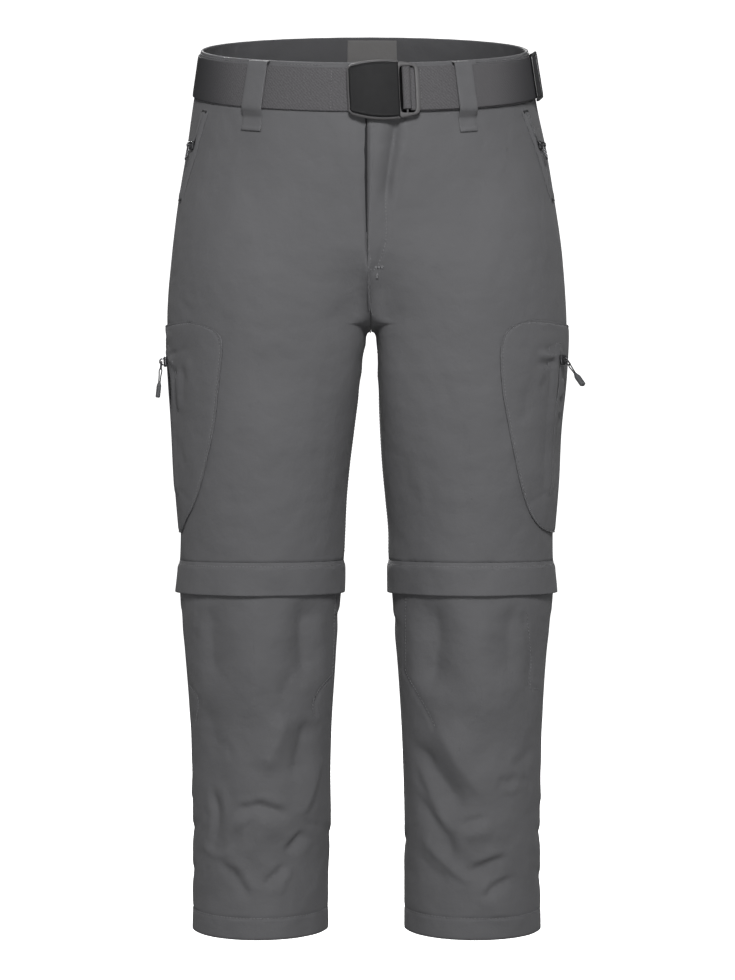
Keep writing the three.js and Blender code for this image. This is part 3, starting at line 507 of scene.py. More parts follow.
def seamDip(t, z, run):
    # the two cloths roll in where a seam joins them: the side seam, the inseam and the centre seam
    toSide = (1 - t) * run
    toInner = t * run
    dip = -0.9 * bell(toSide, 2.0)
    return dip - 0.8 * bell(toInner, 2.0) * (z < -60)


def clothPoint(side, half, t, z, out, fine=1.0):
    # the plain form, moved out along its normal by the folds, the creases and the sewn lines
    t, z = np.broadcast_arrays(np.asarray(t, float), np.asarray(z, float))
    point = basePoint(side, half, t, z)
    alongT, normal = baseSlopes(side, half, t, z)
    height = out + foldHeight(side, half, point[..., 0], z)
    if np.any(np.asarray(fine) > 0):
        run = np.linalg.norm(alongT, axis=-1)
        height = height + fine * (creaseHeight(side, half, t, z, point, alongT)
                                  + ringHeight(side, t, z, run) + seamDip(t, z, run))
    return point + normal * height[..., None]


def legPoint(side, angle, z, out, fine=1.0):  # angle 0 at the side seam, forwards to 180
    angle, z = np.broadcast_arrays(np.asarray(angle, float), np.asarray(z, float))
    half = np.where(angle >= 0, -1, 1)
    return clothPoint(side, half, 1 - np.abs(angle) / 180, z, out, fine)


def waistPoint(angle, z, out):
    # a place round the waist, moved out along the plain normal; angle 0 at the centre front, 90 at the right
    angle, z = np.broadcast_arrays(np.asarray(angle, float), np.asarray(z, float))
    turned = np.mod(angle + 180, 360) - 180
    side = np.where(turned < 0, -1, 1)
    half = np.where(np.abs(turned) <= 90, -1, 1)
    t = np.where(half < 0, np.abs(turned) / 90, (180 - np.abs(turned)) / 90)
    straight = np.stack([np.where(t < 0.004, 0, 1), np.ones_like(t), np.ones_like(t)], -1)
    normal = baseSlopes(side, half, t, z)[1] * straight
    return basePoint(side, half, t, z) + unit(normal) * np.asarray(out, float)[..., None]


def waistAngle(x, z):  # the angle round the waist whose point has this x
    side = np.where(np.asarray(x) < 0, -1, 1)
    return side * np.degrees(np.arcsin(clampShare(np.abs(x) / halfWidth(side, z))))


def reachAngle(side, z, reach):  # the turn round the leg that lies this far from its side, seen in front
    width = np.abs(side * halfWidth(side, z) - innerEdge(side, z))
    return np.degrees(np.arccos(1 - 2 * clampShare(reach / width)))


def shareAtX(side, half, x, z):
    # the t whose point has this x, found by halving
    low = np.zeros_like(z)
    high = np.ones_like(z)
    for _ in range(30):
        middle = (low + high) / 2
        inside = side * basePoint(side, half, middle, z)[..., 0] < side * x
        low = np.where(inside, middle, low)
        high = np.where(inside, high, middle)
    return (low + high) / 2


# ---- meshes

def addObject(name, parts, material, node=None, body="garment", sharpAngle=None, back=None):
    # joins parts, each (points, quads, triangles, uv), into one object with its place in its mesh;
    # node is the solid it replaces, and back marks the faces that show the inside of the cloth
    points, faces, uvs = [], [], []
    start = 0
    for part in parts:
        points.append(part[0])
        uvs.append(part[3] if len(part) > 3 and part[3] is not None else part[0][:, [0, 2]])
        faces += (part[1] + start).tolist() if len(part[1]) else []
        faces += (part[2] + start).tolist() if len(part[2]) else []
        start += len(part[0])
    points = np.concatenate(points) * toMetres
    uvs = np.concatenate(uvs) * toMetres
    mesh = bpy.data.meshes.new(name)
    mesh.from_pydata(points.tolist(), [], faces)
    corners = np.empty(len(mesh.loops), np.int32)
    mesh.loops.foreach_get("vertex_index", corners)
    layer = mesh.uv_layers.new(name="cloth")
    layer.data.foreach_set("uv", uvs[corners].astype(np.float32).ravel())
    mesh.polygons.foreach_set("use_smooth", np.ones(len(mesh.polygons), bool))
    mesh.update()
    if sharpAngle:
        mesh.set_sharp_from_angle(angle=math.radians(sharpAngle))
    mesh.materials.append(material)
    # the inner faces get the darker cloth: painted shade for the inside of the garment
    if back is not None:
        mesh.materials.append(shadedInsideCloth)
        shown = np.zeros(len(mesh.polygons), np.int32)
        shown[:len(back)] = back
        mesh.polygons.foreach_set("material_index", shown)
    made = bpy.data.objects.new(name, mesh)
    bpy.context.scene.collection.objects.link(made)
    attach(made, body)
    if node:
        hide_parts(node)
    allParts.append(made)
    return made


def gridFaces(rows, columns, start=0, wrap=False):  # four-sided faces between rows of points
    last = columns if wrap else columns - 1
    j, i = np.meshgrid(np.arange(rows - 1), np.arange(last), indexing="ij")
    low, nextI = j * columns, (i + 1) % columns
    faces = np.stack([low + i, low + nextI, low + columns + nextI, low + columns + i], -1)
    return faces.reshape(-1, 4) + start


def facingOut(points, quads, triangles):
    # turns a closed set of faces so that its volume is positive
    corners = [quads[:, [0, 1, 2]], quads[:, [0, 2, 3]]] if len(quads) else []
    if len(triangles):
        corners.append(triangles)
    every = np.concatenate(corners)
    a, b, c = (points[every[:, k]] for k in range(3))
    if dot(a, np.cross(b, c)).sum() < 0:
        quads = quads[:, ::-1] if len(quads) else quads
        triangles = triangles[:, ::-1] if len(triangles) else triangles
    return quads, triangles


noFaces = np.zeros((0, 3), int)


def wallPart(outside, inside, uv=None):
    # closed wall between two grids of points, with a rounded edge: one more row stands out half way
    rows, columns = outside.shape[:2]
    size = rows * columns
    order = np.concatenate([
        np.arange(columns), np.arange(1, rows) * columns + columns - 1,
        (rows - 1) * columns + np.arange(columns - 2, -1, -1), np.arange(rows - 2, 0, -1) * columns])
    flatOut = outside.reshape(-1, 3)
    flatIn = inside.reshape(-1, 3)
    inner = np.clip(order // columns, 1, rows - 2) * columns + np.clip(order % columns, 1, columns - 2)
    thick = np.linalg.norm(flatOut[order] - flatIn[order], axis=1, keepdims=True)
    away = unit(flatOut[order] - flatOut[inner])
    middle = (flatOut[order] + flatIn[order]) / 2 + away * thick * 0.3
    points = np.concatenate([flatOut, flatIn, middle])
    top = gridFaces(rows, columns)
    bottom = gridFaces(rows, columns, size)[:, ::-1]
    ring = np.arange(len(order))
    after = (ring + 1) % len(order)
    upper = np.stack([order[after], order[ring], 2 * size + ring, 2 * size + after], -1)
    lower = np.stack([2 * size + after, 2 * size + ring, size + order[ring], size + order[after]], -1)
    quads, triangles = facingOut(points, np.concatenate([top, bottom, upper, lower]), noFaces)
    if uv is None:
        uv = outside[..., [0, 2]]
    flatUv = uv.reshape(-1, 2)
    return points, quads, triangles, np.concatenate([flatUv, flatUv, flatUv[order]])


def insideFaces(part, outside):
    # which faces of a wall lie on its inner side: they follow the outer side's faces
    count = (outside.shape[0] - 1) * (outside.shape[1] - 1)
    k = np.arange(len(part[1]))
    return ((k >= count) & (k < 2 * count)).astype(np.int32)


def spread(start, end, step, closeTo=(), reach=5.0, fineStep=0.8):
    # places along a line: even steps, closer together near the given places
    fine = np.linspace(start, end, 4000)
    density = np.full(fine.shape, 1 / step)
    for place in closeTo:
        density = density + (1 / fineStep - 1 / step) * bell(fine - place, reach)
    total = np.concatenate([[0], np.cumsum((density[1:] + density[:-1]) / 2)]) * abs(end - start) / 3999
    count = max(int(round(total[-1])), 2)
    return np.interp(np.linspace(0, total[-1], count + 1), total, fine)


def tubePart(path, radius, sides=10, closed=False, up=(0, 0, 1)):
    # a round section carried along a path; ends are closed with a rounded cap
    path = np.asarray(path, float)
    count = len(path)
    if closed:
        tangent = unit(np.roll(path, -1, 0) - np.roll(path, 1, 0))
    else:
        tangent = unit(np.gradient(path, axis=0))
    first = unit(np.cross(tangent, np.array(up, float)))
    second = np.cross(tangent, first)
    radius = np.broadcast_to(np.asarray(radius, float), (count,))
    if not closed:
        radius = radius * np.where(np.isin(np.arange(count), (0, count - 1)), 0.55, 1.0)
    turn = np.linspace(0, 2 * math.pi, sides, endpoint=False)
    rings = (path[:, None] + radius[:, None, None] * (np.cos(turn)[None, :, None] * first[:, None]
                                                      + np.sin(turn)[None, :, None] * second[:, None]))
    if closed:
        return closedRing(rings.reshape(-1, 3), count, sides)
    tips = [path[0] - tangent[0] * radius[0] * 0.5, path[-1] + tangent[-1] * radius[-1] * 0.5]
    return cappedRows(rings.reshape(-1, 3), tips, count, sides)


def closedRing(points, count, sides):
    # rows of points joined round, and the last row to the first
    k = np.arange(sides)
    last = (count - 1) * sides
    quads = np.concatenate([gridFaces(count, sides, wrap=True),
                            np.stack([last + k, last + (k + 1) % sides, (k + 1) % sides, k], -1)])
    quads, triangles = facingOut(points, quads, noFaces)
    return points, quads, triangles, None


def cappedRows(points, tips, count, sides):
    # rows of points joined round, with a fan of triangles to a tip at each end
    k = np.arange(sides)
    start = len(points)
    last = (count - 1) * sides
    triangles = np.concatenate([
        np.stack([np.full(sides, start), (k + 1) % sides, k], -1),
        np.stack([np.full(sides, start + 1), last + k, last + (k + 1) % sides], -1)])
    points = np.concatenate([points, np.array(tips)])
    quads, triangles = facingOut(points, gridFaces(count, sides, wrap=True), triangles)
    return points, quads, triangles, None


def loftPart(levels, centers, halfWidths, halfDepths, power=3.0, sides=24):
    # rounded box sections, one above another, closed at both ends
    turn = np.linspace(0, 2 * math.pi, sides, endpoint=False)
    c, s = np.cos(turn), np.sin(turn)
    boxX = squared(c, 2 / power)
    boxY = squared(s, 2 / power)
    levels, halfWidths, halfDepths = (np.asarray(a, float) for a in (levels, halfWidths, halfDepths))
    centers = np.asarray(centers, float)
    x = halfWidths[:, None] * boxX
    y = centers[:, None] + halfDepths[:, None] * boxY
    z = np.broadcast_to(levels[:, None], x.shape)
    ends = [(0, centers[0], levels[0]), (0, centers[-1], levels[-1])]
    return cappedRows(np.stack([x, y, z], -1).reshape(-1, 3), ends, len(levels), sides)


def movedPart(part, matrix, place):  # the part's points turned by the matrix, then moved to the place
    return (part[0] @ np.asarray(matrix, float).T + np.asarray(place, float),) + tuple(part[1:])


def smoothPath(points, step):
    # an even run of points on a smooth curve through a few given ones
    points = np.asarray(points, float)
    lengths = gathered(points)
    at = np.linspace(0, lengths[-1], max(int(lengths[-1] / step), 2) + 1)
    return np.stack([cubicThrough(lengths, points[:, k], at) for k in range(points.shape[1])], -1)


def alongPath(path):
    # the length gone at each point of a path, and a function that reads values at given lengths
    gone = gathered(path)
    return gone, lambda at, values: np.stack([np.interp(at, gone, values[:, k]) for k in range(3)], -1)


def repeated(faces, count, size):  # one shape's faces for count copies, each of size points
    return (faces[None] + (np.arange(count) * size)[:, None, None]).reshape(-1, faces.shape[1])


# ---- sewing

sewing = {"stitchLength": 2.6, "stitchPitch": 3.4, "threadRadius": 0.34, "sink": 0.28}
threads = []


def sewAlong(path, normals, pitch=None, length=None, radius=None):
    # one short rounded stitch each pitch, its ends dipping into the cloth
    pitch = pitch or sewing["stitchPitch"]
    length = length or sewing["stitchLength"]
    radius = radius or sewing["threadRadius"]
    gone, at = alongPath(path)
    centers = np.arange(pitch / 2, gone[-1], pitch)
    if not len(centers):
        return
    middle = at(centers, path)
    up = unit(at(centers, normals))
    ahead = unit(at(np.minimum(centers + length / 2, gone[-1]), path)
                 - at(np.maximum(centers - length / 2, 0), path))
    aside = unit(np.cross(up, ahead))
    turn = np.linspace(0, 2 * math.pi, 6, endpoint=False)
    template = [(-0.5, 0, 0, -sewing["sink"])]
    for end in (-0.3, 0.3):
        template += [(end, math.cos(a) * radius, math.sin(a) * radius, 0.1) for a in turn]
    template += [(0.5, 0, 0, -sewing["sink"])]
    shape = np.array(template)
    points = (middle[:, None] + ahead[:, None] * (shape[:, 0] * length)[None, :, None]
              + aside[:, None] * shape[:, 1][None, :, None]
              + up[:, None] * (shape[:, 2] + shape[:, 3])[None, :, None])
    k = np.arange(6)
    quads = np.stack([1 + k, 1 + (k + 1) % 6, 7 + (k + 1) % 6, 7 + k], -1)
    triangles = np.concatenate([
        np.stack([np.zeros(6, int), 1 + (k + 1) % 6, 1 + k], -1),
        np.stack([np.full(6, 13), 7 + k, 7 + (k + 1) % 6], -1)])
    flat = points.reshape(-1, 3)
    count = len(centers)
    threads.append((flat, *facingOut(flat, repeated(quads, count, 14), repeated(triangles, count, 14)), None))


def sewCloth(side, half, t, z, out=0.0):  # a row on a panel
    path = clothPoint(side, half, t, z, out)
    sewAlong(path, baseSlopes(side, half, t, z)[1])


def sewByX(side, half, points, out=0.0, shift=0.0):
    # a sewn line through places given by x and height, moved sideways by shift
    line = smoothPath(points, 2.0)
    x = line[:, 0] + shift
    sewCloth(side, half, shareAtX(side, half, x, line[:, 1]), line[:, 1], out)


def sewOnLeg(side, angle, z, out):  # a row round or along a leg
    path = legPoint(side, angle, z, out)
    sewAlong(path, unit(legPoint(side, angle, z, out + 1) - path))


def sewOnWaist(angle, z, out, pitch=None, length=None):  # a row round or across the waist
    path = waistPoint(angle, z, out)
    sewAlong(path, unit(waistPoint(angle, z, out + 1) - path), pitch, length)


def bartack(center, across, normal, width, height, rows=9):
    # a short block of dense stitching: close parallel threads
    center, across, normal = (np.asarray(a, float) for a in (center, across, normal))
    up = np.cross(normal, across)
    for k in range(rows):
        level = center + up * height * (k / (rows - 1) - 0.5) + normal * 0.2
        path = np.stack([level - across * width / 2, level + across * width / 2])
        sewAlong(path, np.stack([normal, normal]), pitch=width / 4, length=width / 3.6, radius=0.3)


# ---- materials

def addNode(tree, kind, inputs=None, **settings):
    # one node with its settings; an input is a number, a colour or another node's output
    node = tree.nodes.new("ShaderNode" + kind)
    for name, value in settings.items():
        setattr(node, name, value)
    for name, value in (inputs or {}).items():
        socket = node.inputs[name]
        if isinstance(value, bpy.types.NodeSocket):
            tree.links.new(value, socket)
        else:
            socket.default_value = value
    return node


def newMaterial(name, roughness, metallic=0.0, ior=1.5):  # a shader with its plain values set
    material = bpy.data.materials.new(name)
    material.use_nodes = True
    tree = material.node_tree
    shader = tree.nodes["Principled BSDF"]
    shader.inputs["Roughness"].default_value = roughness
    shader.inputs["Metallic"].default_value = metallic
    if not metallic:
        shader.inputs["IOR"].default_value = ior
    return material, tree, shader


def blendedColor(tree, share, first, second):
    # colours mixed by share; sockets 6 and 7 are the two colours of the node
    inputs = {0: share, 6: first, 7: linearColor(second)}
    return addNode(tree, "Mix", inputs, data_type="RGBA").outputs[2]


def patchyColor(tree, vector, scale, dark, light, detail=3.0):  # two near tones in soft patches
    noise = addNode(tree, "TexNoise", {"Vector": vector, "Scale": scale, "Detail": detail})
    return blendedColor(tree, noise.outputs["Fac"], linearColor(dark), light)


def wovenCloth(name, dark, light, thread, bumpDepth, roughness, sheen):
    # cloth with a plain weave: soft, a little uneven in tone and height, with low sheen. Its threads are
    # drawn up to three times as coarse as the real ones of about 0.3 mm, so that they show.
    material, tree, shader = newMaterial(name, roughness, ior=1.5)
    place = addNode(tree, "TexCoord")
    own = place.outputs["UV"]
    spot = place.outputs["Object"]
    tree.links.new(patchyColor(tree, spot, 14, dark, light), shader.inputs["Base Color"])
    pitch = thread * toMetres
    waves = []
    for direction in ("X", "Y"):
        wave = addNode(tree, "TexWave",
                       {"Vector": own, "Scale": 1 / pitch / 3.14, "Distortion": 0.4, "Detail": 1.0},
                       bands_direction=direction)
        waves.append(wave.outputs["Fac"])
    weave = addNode(tree, "Math", {0: waves[0], 1: waves[1]}, operation="MULTIPLY")
    crumple = addNode(tree, "TexNoise", {"Vector": spot, "Scale": 90, "Detail": 4.0})
    broad = addNode(tree, "TexNoise", {"Vector": spot, "Scale": 17, "Detail": 2.0})
    uneven = addNode(tree, "Bump",
                     {"Height": broad.outputs["Fac"], "Strength": 1.0, "Distance": 0.006})
    low = addNode(tree, "Bump",
                  {"Height": crumple.outputs["Fac"], "Strength": 0.5, "Distance": 0.0016,
                   "Normal": uneven.outputs["Normal"]})
    fine = addNode(tree, "Bump",
                   {"Height": weave.outputs[0], "Strength": 0.5, "Distance": bumpDepth * toMetres,
                    "Normal": low.outputs["Normal"]})
    tree.links.new(fine.outputs["Normal"], shader.inputs["Normal"])
    shader.inputs["Sheen Weight"].default_value = sheen
    shader.inputs["Sheen Roughness"].default_value = 0.5
    shader.inputs["Specular IOR Level"].default_value = 0.3
    return material


def ribbedWebbing(name, dark, light, side):
    # polypropylene webbing: fine twill specks, dull, and darker round the sides of the waist, a painted
    # shade where the belt turns away from the light. The twill's steps of 1.6 mm are about those of the real
    # one.
    material, tree, shader = newMaterial(name, 0.85)
    place = addNode(tree, "TexCoord")
    own = place.outputs["UV"]
    fine = addNode(tree, "TexNoise", {"Vector": own, "Scale": 620, "Detail": 2.0})
    twill = addNode(tree, "TexWave",
                    {"Vector": own, "Scale": 1 / 0.0016 / 3.14, "Distortion": 5.0, "Detail": 2.0,
                     "Detail Scale": 1.5}, bands_direction="DIAGONAL")
    both = addNode(tree, "Math", {0: twill.outputs["Fac"], 1: 0.3, 2: fine.outputs["Fac"]},
                   operation="MULTIPLY_ADD")
    speck = addNode(tree, "MapRange",
                    {"Value": both.outputs[0], "From Min": 0.4, "From Max": 0.95})
    specked = blendedColor(tree, speck.outputs[0], linearColor(dark), light)
    # painted shade: beyond 115 mm from the middle the colour goes over to the darker side colour, for the
    # light falling off where the belt turns away
    across = addNode(tree, "SeparateXYZ", {"Vector": place.outputs["Object"]})
    away = addNode(tree, "Math", {0: across.outputs["X"]}, operation="ABSOLUTE")
    edge = addNode(tree, "MapRange", {"Value": away.outputs[0], "From Min": 0.115, "From Max": 0.17},
                   interpolation_type="SMOOTHSTEP")
    tree.links.new(blendedColor(tree, edge.outputs[0], specked, side), shader.inputs["Base Color"])
    bump = addNode(tree, "Bump",
                   {"Height": both.outputs[0], "Strength": 0.5, "Distance": 0.0003})
    tree.links.new(bump.outputs["Normal"], shader.inputs["Normal"])
    shader.inputs["Specular IOR Level"].default_value = 0.2
    return material


def hardFinish(name, dark, light, roughness, metallic=0.0, grain=400, depth=0.0001, shine=0.5):
    # moulded or cast surface: an even colour with a fine grain
    material, tree, shader = newMaterial(name, roughness, metallic)
    shader.inputs["Specular IOR Level"].default_value = shine
    place = addNode(tree, "TexCoord")
    spot = place.outputs["Object"]
    tree.links.new(patchyColor(tree, spot, 120, dark, light), shader.inputs["Base Color"])
    grit = addNode(tree, "TexNoise", {"Vector": spot, "Scale": grain, "Detail": 2.0})
    bump = addNode(tree, "Bump",
                   {"Height": grit.outputs["Fac"], "Strength": 0.4, "Distance": depth})
    tree.links.new(bump.outputs["Normal"], shader.inputs["Normal"])
    return material


# polyamide shell cloth, woven and lightly coated: a soft even grey
shellCloth = wovenCloth("nylonShellCloth", "#5b5b5d", "#636365", 0.9, 0.12, 0.78, 0.08)
# the same cloth's inner faces: darker and duller, a painted shade for the shade inside the garment
shadedInsideCloth = wovenCloth("clothInsidePaintedShade", "#4d4d4f", "#545456", 0.9, 0.1, 0.85, 0.05)
# damask label cloth: lighter than the waistband behind it
labelCloth = wovenCloth("wovenLabel", "#676665", "#6e6d6d", 0.7, 0.08, 0.85, 0.1)
# the third colour is a painted shade for the belt's sides
beltWebbingPaintedShade = ribbedWebbing("beltWebbingPaintedShade", "#4f4e50", "#5f5e60", "#3b3b3d")
# spun polyester: a little lighter than the cloth, so that stitches show as fine dashes
sewingThread = wovenCloth("polyesterThread", "#6b6b6d", "#767678", 0.4, 0.05, 0.7, 0.1)
# woven polyester tape: nearly black
zipTape = wovenCloth("zipTape", "#1c1c1e", "#232325", 0.8, 0.1, 0.8, 0.1)
# nylon coil: black with small lights on its turns
coilPlastic = hardFinish("coilPlastic", "#18181a", "#202022", 0.4)
# acetal, moulded: glossy black
adjusterPlastic = hardFinish("glossyBlackSlide", "#131314", "#19191a", 0.28, shine=0.6)
# blackened spring steel of the clamp, and the sheet behind the buckle's window, a painted shade for the shade
# in the window's gaps: near black, no light of its own
clampSteelAndShadeSheet = hardFinish("blackClampSteelAndPaintedShade", "#0b0b0c", "#101011", 0.9, shine=0.05)
# zinc, cast and blackened: dark with sharp lights
blackMetal = hardFinish("blackenedMetal", "#4a4a4c", "#626264", 0.3, 0.8)
# matt coated metal plate: near black with a wide weak light
buckleFinish = hardFinish("mattBlackBuckle", "#1e1e1f", "#262627", 0.55, shine=0.1)
# grey coated metal: the pale rim round the plate and the window
frameFinish = hardFinish("greyBuckleFrame", "#4f4e4f", "#5a595a", 0.5, shine=0.3)
# thermoplastic rubber, moulded: mid grey, satin
gripRubber = hardFinish("greyGripRubber", "#4e4f51", "#5b5c5e", 0.6, shine=0.3)
# braided polyester cord: dark and dull
cordFinish = wovenCloth("pullCord", "#242426", "#303032", 0.5, 0.2, 0.8, 0.1)
print("materials ready")

# ---- cloth panels

panelSteps = {"across": 2.6, "up": 2.6, "seamReach": 4.0, "seamStep": 1.0}
hem = {"turn": 20, "thick": 3.0}


def wallOn(surface, place, outer, inner, uv=None):
    # a wall between two heights over a surface: clothPoint, legPoint, waistPoint or bucklePoint
    return wallPart(surface(*place, outer), surface(*place, inner), uv)


def addCloth(node, surface, place, outer, inner, uv, extra=(), shadeInside=False,
             material=shellCloth):
    # a wall of cloth in place of a solid
    outside = surface(*place, outer)
    part = wallPart(outside, surface(*place, inner), uv)
    made = addObject(node + "_cloth", [part, *extra], material, node,
                     back=insideFaces(part, outside) if shadeInside else None)


def sectionWidth(side, half, z):  # the length of the section from the inner seam to the side seam
    return gathered(basePoint(side, half, np.linspace(0, 1, 41), np.full(41, float(z))))[-1]


def panelShares(width):  # places across a panel, closer together beside its seams
    steps = panelSteps
    return spread(0, width, steps["across"], (0, width), steps["seamReach"], steps["seamStep"]) / width


def clothUv(width, t, z):  # millimetres across and up the cloth
    return np.stack([t * width, z], -1)


def upperRows(half, u, v):
    # rows even at the side seam and closer together at the crotch, as they run in the solid
    top = -waistHeight - seamGap / 2
    bottom = kneeSeam + seamGap
    curveTop = -195 if half < 0 else -140
    first = mix(top, curveTop, v / 0.22)
    second = mix(curveTop, crotchHeight, np.sin(clampShare((v - 0.22) / 0.33) * math.pi / 2))
    third = crotchHeight - 10 * (1 - np.cos(clampShare((v - 0.55) / 0.13) * math.pi / 2))
    fourth = mix(crotchHeight - 10, bottom, (v - 0.68) / 0.32)
    inner = np.where(v <= 0.22, first, np.where(v <= 0.55, second, np.where(v <= 0.68, third, fourth)))
    return mix(inner, mix(top, bottom, v), smooth(u * 1.3))


def sideName(side):
    return "left" if side < 0 else "right"


def panelName(side, half):
    return ("front_" if half < 0 else "back_") + sideName(side)


panelPlaces = [(-1, -1), (-1, 1), (1, -1), (1, 1)]  # side, half
rolled = {"panel": 190, "lap": 1.7, "roll": 1.5, "under": 2.6}


def rolledEdge(side, half, t, z):
    # the fly: the right front laps over the left one, with a rounded free edge
    if half > 0:
        return 0
    reach = t * rolled["panel"]
    above = smooth((-44 - z) / 6) * smooth((z + 262) / 40)
    lap = rolled["lap"] * bell(reach, 14) - rolled["roll"] * bell(reach, 1.2)
    under = -rolled["under"] * bell(reach, 6.0)
    return above * np.where(side > 0, lap, under)


def addUpperPanels():
    # each from the waistband to the knee, the right front lapping over the left one
    for side, half in panelPlaces:
        width = sectionWidth(side, half, -300)
        rows = int((-waistHeight - kneeSeam) / panelSteps["up"]) + 1
        u, v = np.meshgrid(panelShares(width), np.linspace(0, 1, rows))
        z = upperRows(half, u, v)
        out = rolledEdge(side, half, u, z)
        addCloth("upper_" + panelName(side, half), clothPoint, (side, half, u, z), out, out - clothThick,
                 clothUv(width, u, z), shadeInside=True,
                 extra=sidePocketWelts(side) if half < 0 else ())


def addLowerPanels():
    # each from the knee zip to the hem, thicker where the hem is turned up
    for side, half in panelPlaces:
        width = sectionWidth(side, half, -600)
        z = spread(hemHeight, lowerLegTop, panelSteps["up"], (hemStitch,), 5, 0.9)
        u, z = np.meshgrid(panelShares(width), z)
        thick = mix(clothThick, hem["thick"], 1 - smooth((z - hemHeight - hem["turn"]) / 6))
        addCloth("lower_" + panelName(side, half), clothPoint, (side, half, u, z), 0, -thick,
                 clothUv(width, u, z), shadeInside=True)


flap = {"topOut": 0.2, "bottomOut": 4.2, "thick": 1.4}


def flapOut(z):
    # flat with the leg at its seam, standing out at once below it and more towards the free edge
    v = clampShare((z - flapBottom) / (kneeSeam - flapBottom))
    return mix(flap["bottomOut"], 1.7, v) - (1.7 - flap["topOut"]) * smooth((v - 0.84) / 0.16)


def addKneeFlaps():
    # a folded strip over the knee zip, its free edge a little wavy
    for side, half in panelPlaces:
        width = sectionWidth(side, half, -525)
        u, z = np.meshgrid(panelShares(width), spread(flapBottom, kneeSeam, 2.0, (flapStitch, -539), 3, 0.8))
        v = (z - flapBottom) / (kneeSeam - flapBottom)
        wave = 0.5 * np.sin(u * width / 17 + side) + 0.35 * np.sin(u * width / 9.3 + half)
        out = flapOut(z) + wave * (1 - v) ** 2
        inner = out - mix(flap["thick"], 0.7, smooth((v - 0.7) / 0.3))
        name = panelName(side, half)
        addCloth("knee_flap_" + name, clothPoint, (side, half, u, z), out, inner, clothUv(width, u, z))


band = {"thick": 2.6, "stitchDip": 0.4, "ripple": 0.25, "backFrom": 90.1, "backTo": 269.9, "perDegree": 2.6}


def addWaistband():
    # two folded bands in front and one behind, drawn in along the stitches below the top edge
    levels = spread(-waistHeight + seamGap / 2, 0, 3.0, (waistStitch, -43.5), 3, 1.0)
    smoothCloth = lambda *place: clothPoint(*place, 0)
    for side in (-1, 1):
        width = sectionWidth(side, -1, -20)
        u, z = np.meshgrid(panelShares(width), levels)
        addCloth(f"waistband_front_{sideName(side)}", smoothCloth, (side, -1, u, z),
                 -band["stitchDip"] * bell(z - waistStitch, 1.4), -band["thick"], clothUv(width, u, z),
                 shadeInside=True)
    a, z = np.meshgrid(np.linspace(band["backFrom"], band["backTo"], 150), levels)
    ripple = band["ripple"] * np.sin(a / 1.7) * bell(z - waistStitch, 4)
    addCloth("waistband_back", waistPoint, (a, z), -band["stitchDip"] * bell(z - waistStitch, 1.4),
             -band["thick"] + ripple, np.stack([a * band["perDegree"], z], -1),
             shadeInside=True)


label = {"width": 53, "middle": 5, "out": 3.1, "thick": 0.8, "bottom": -42, "top": -3}


def addLabel():
    # a bare woven label inside the back of the waistband, a little wavy
    u, z = np.meshgrid(np.linspace(-0.5, 0.5, 40), np.linspace(label["bottom"], label["top"], 30))
    x = label["middle"] + u * label["width"]
    wave = 0.25 * np.sin(u * 9) * np.cos(z / 9)
    addCloth("waist_label", waistPoint, (180 - waistAngle(x, -20), z), -label["out"] - 0.1 + wave * 0.3,
             -label["out"] - label["thick"] - 0.1 + wave * 0.3, np.stack([x, z], -1),
             material=labelCloth)


# ---- belt

# angles round the waist: adjuster, strap, doubled front stretch, rows of stitches across
belt = {"width": 40, "top": -5.2, "thick": 1.8, "out": 0.4, "outerOut": 2.6, "adjuster": 81,
        "strap": (0, -336), "front": (14, 97), "sewnAt": (-11.5, 17.5, 91.5), "perDegree": 2.7}


def strapPart(angles, outAt):
    # webbing laid round the waist, thinner at its two edges
    top, bottom = belt["top"], belt["top"] - belt["width"]
    z = spread(bottom, top, 4.0, (top, bottom), 2, 0.8)
    a, z = np.meshgrid(angles, z)
    out = outAt(a)
    middle = belt["top"] - belt["width"] / 2
    edge = 0.35 * np.abs((z - middle) / (belt["width"] / 2)) ** 8
    uv = np.stack([a * belt["perDegree"], z], -1)
    return wallOn(waistPoint, (a, z), out + belt["thick"] - edge, out + edge, uv)


def outerStrapOut(angle):  # the doubled strap lifts over the adjuster
    return belt["outerOut"] + 3.0 * bell(angle - belt["adjuster"], 5)


def addBelt():
    # the strap, its doubled front stretch over it, and rows of stitches across both
    strap = strapPart(np.linspace(*belt["strap"], 225), lambda a: np.full_like(a, belt["out"]))
    made = addObject("belt_strap_webbing", [strap], beltWebbingPaintedShade, "belt_strap")
    front = strapPart(np.linspace(*belt["front"], 84), outerStrapOut)
    made = addObject("belt_strap_front_webbing", [front], beltWebbingPaintedShade, "belt_strap_front")
    for angle in belt["sewnAt"]:
        z = np.linspace(belt["top"] - belt["width"] + 2, belt["top"] - 2, 40)
        out = (belt["out"] if angle < 0 else outerStrapOut(angle)) + belt["thick"] + 0.05
        sewOnWaist(np.full(40, angle), z, out, 2.6, 2.1)


def addAdjuster():
    # moulded slide: two upright bars, two rails and a bar in the middle that the strap is led over
    top, bottom = belt["top"] + 2.0, belt["top"] - belt["width"] - 2.0
    middle = belt["adjuster"]
    parts = []
    for angle, out, radius in ((middle - 6.6, 6.7, 1.5), (middle + 6.6, 6.7, 1.5), (middle, 4.0, 1.1)):
        z = np.linspace(bottom, top, 24)
        path = waistPoint(np.full(24, float(angle)), z, np.full(24, out))
        parts.append(tubePart(path, radius, 12, up=(0, 1, 0)))
    for level in (top, bottom):
        a = np.linspace(middle - 7.4, middle + 7.4, 24)
        bow = 6.7 - 1.6 * np.cos((a - middle) / 7.4 * math.pi / 2)
        parts.append(tubePart(waistPoint(a, np.full(24, level), bow), 1.5, 12))
    addObject("belt_adjuster_moulded", parts, adjusterPlastic, "belt_adjuster",
              sharpAngle=60)


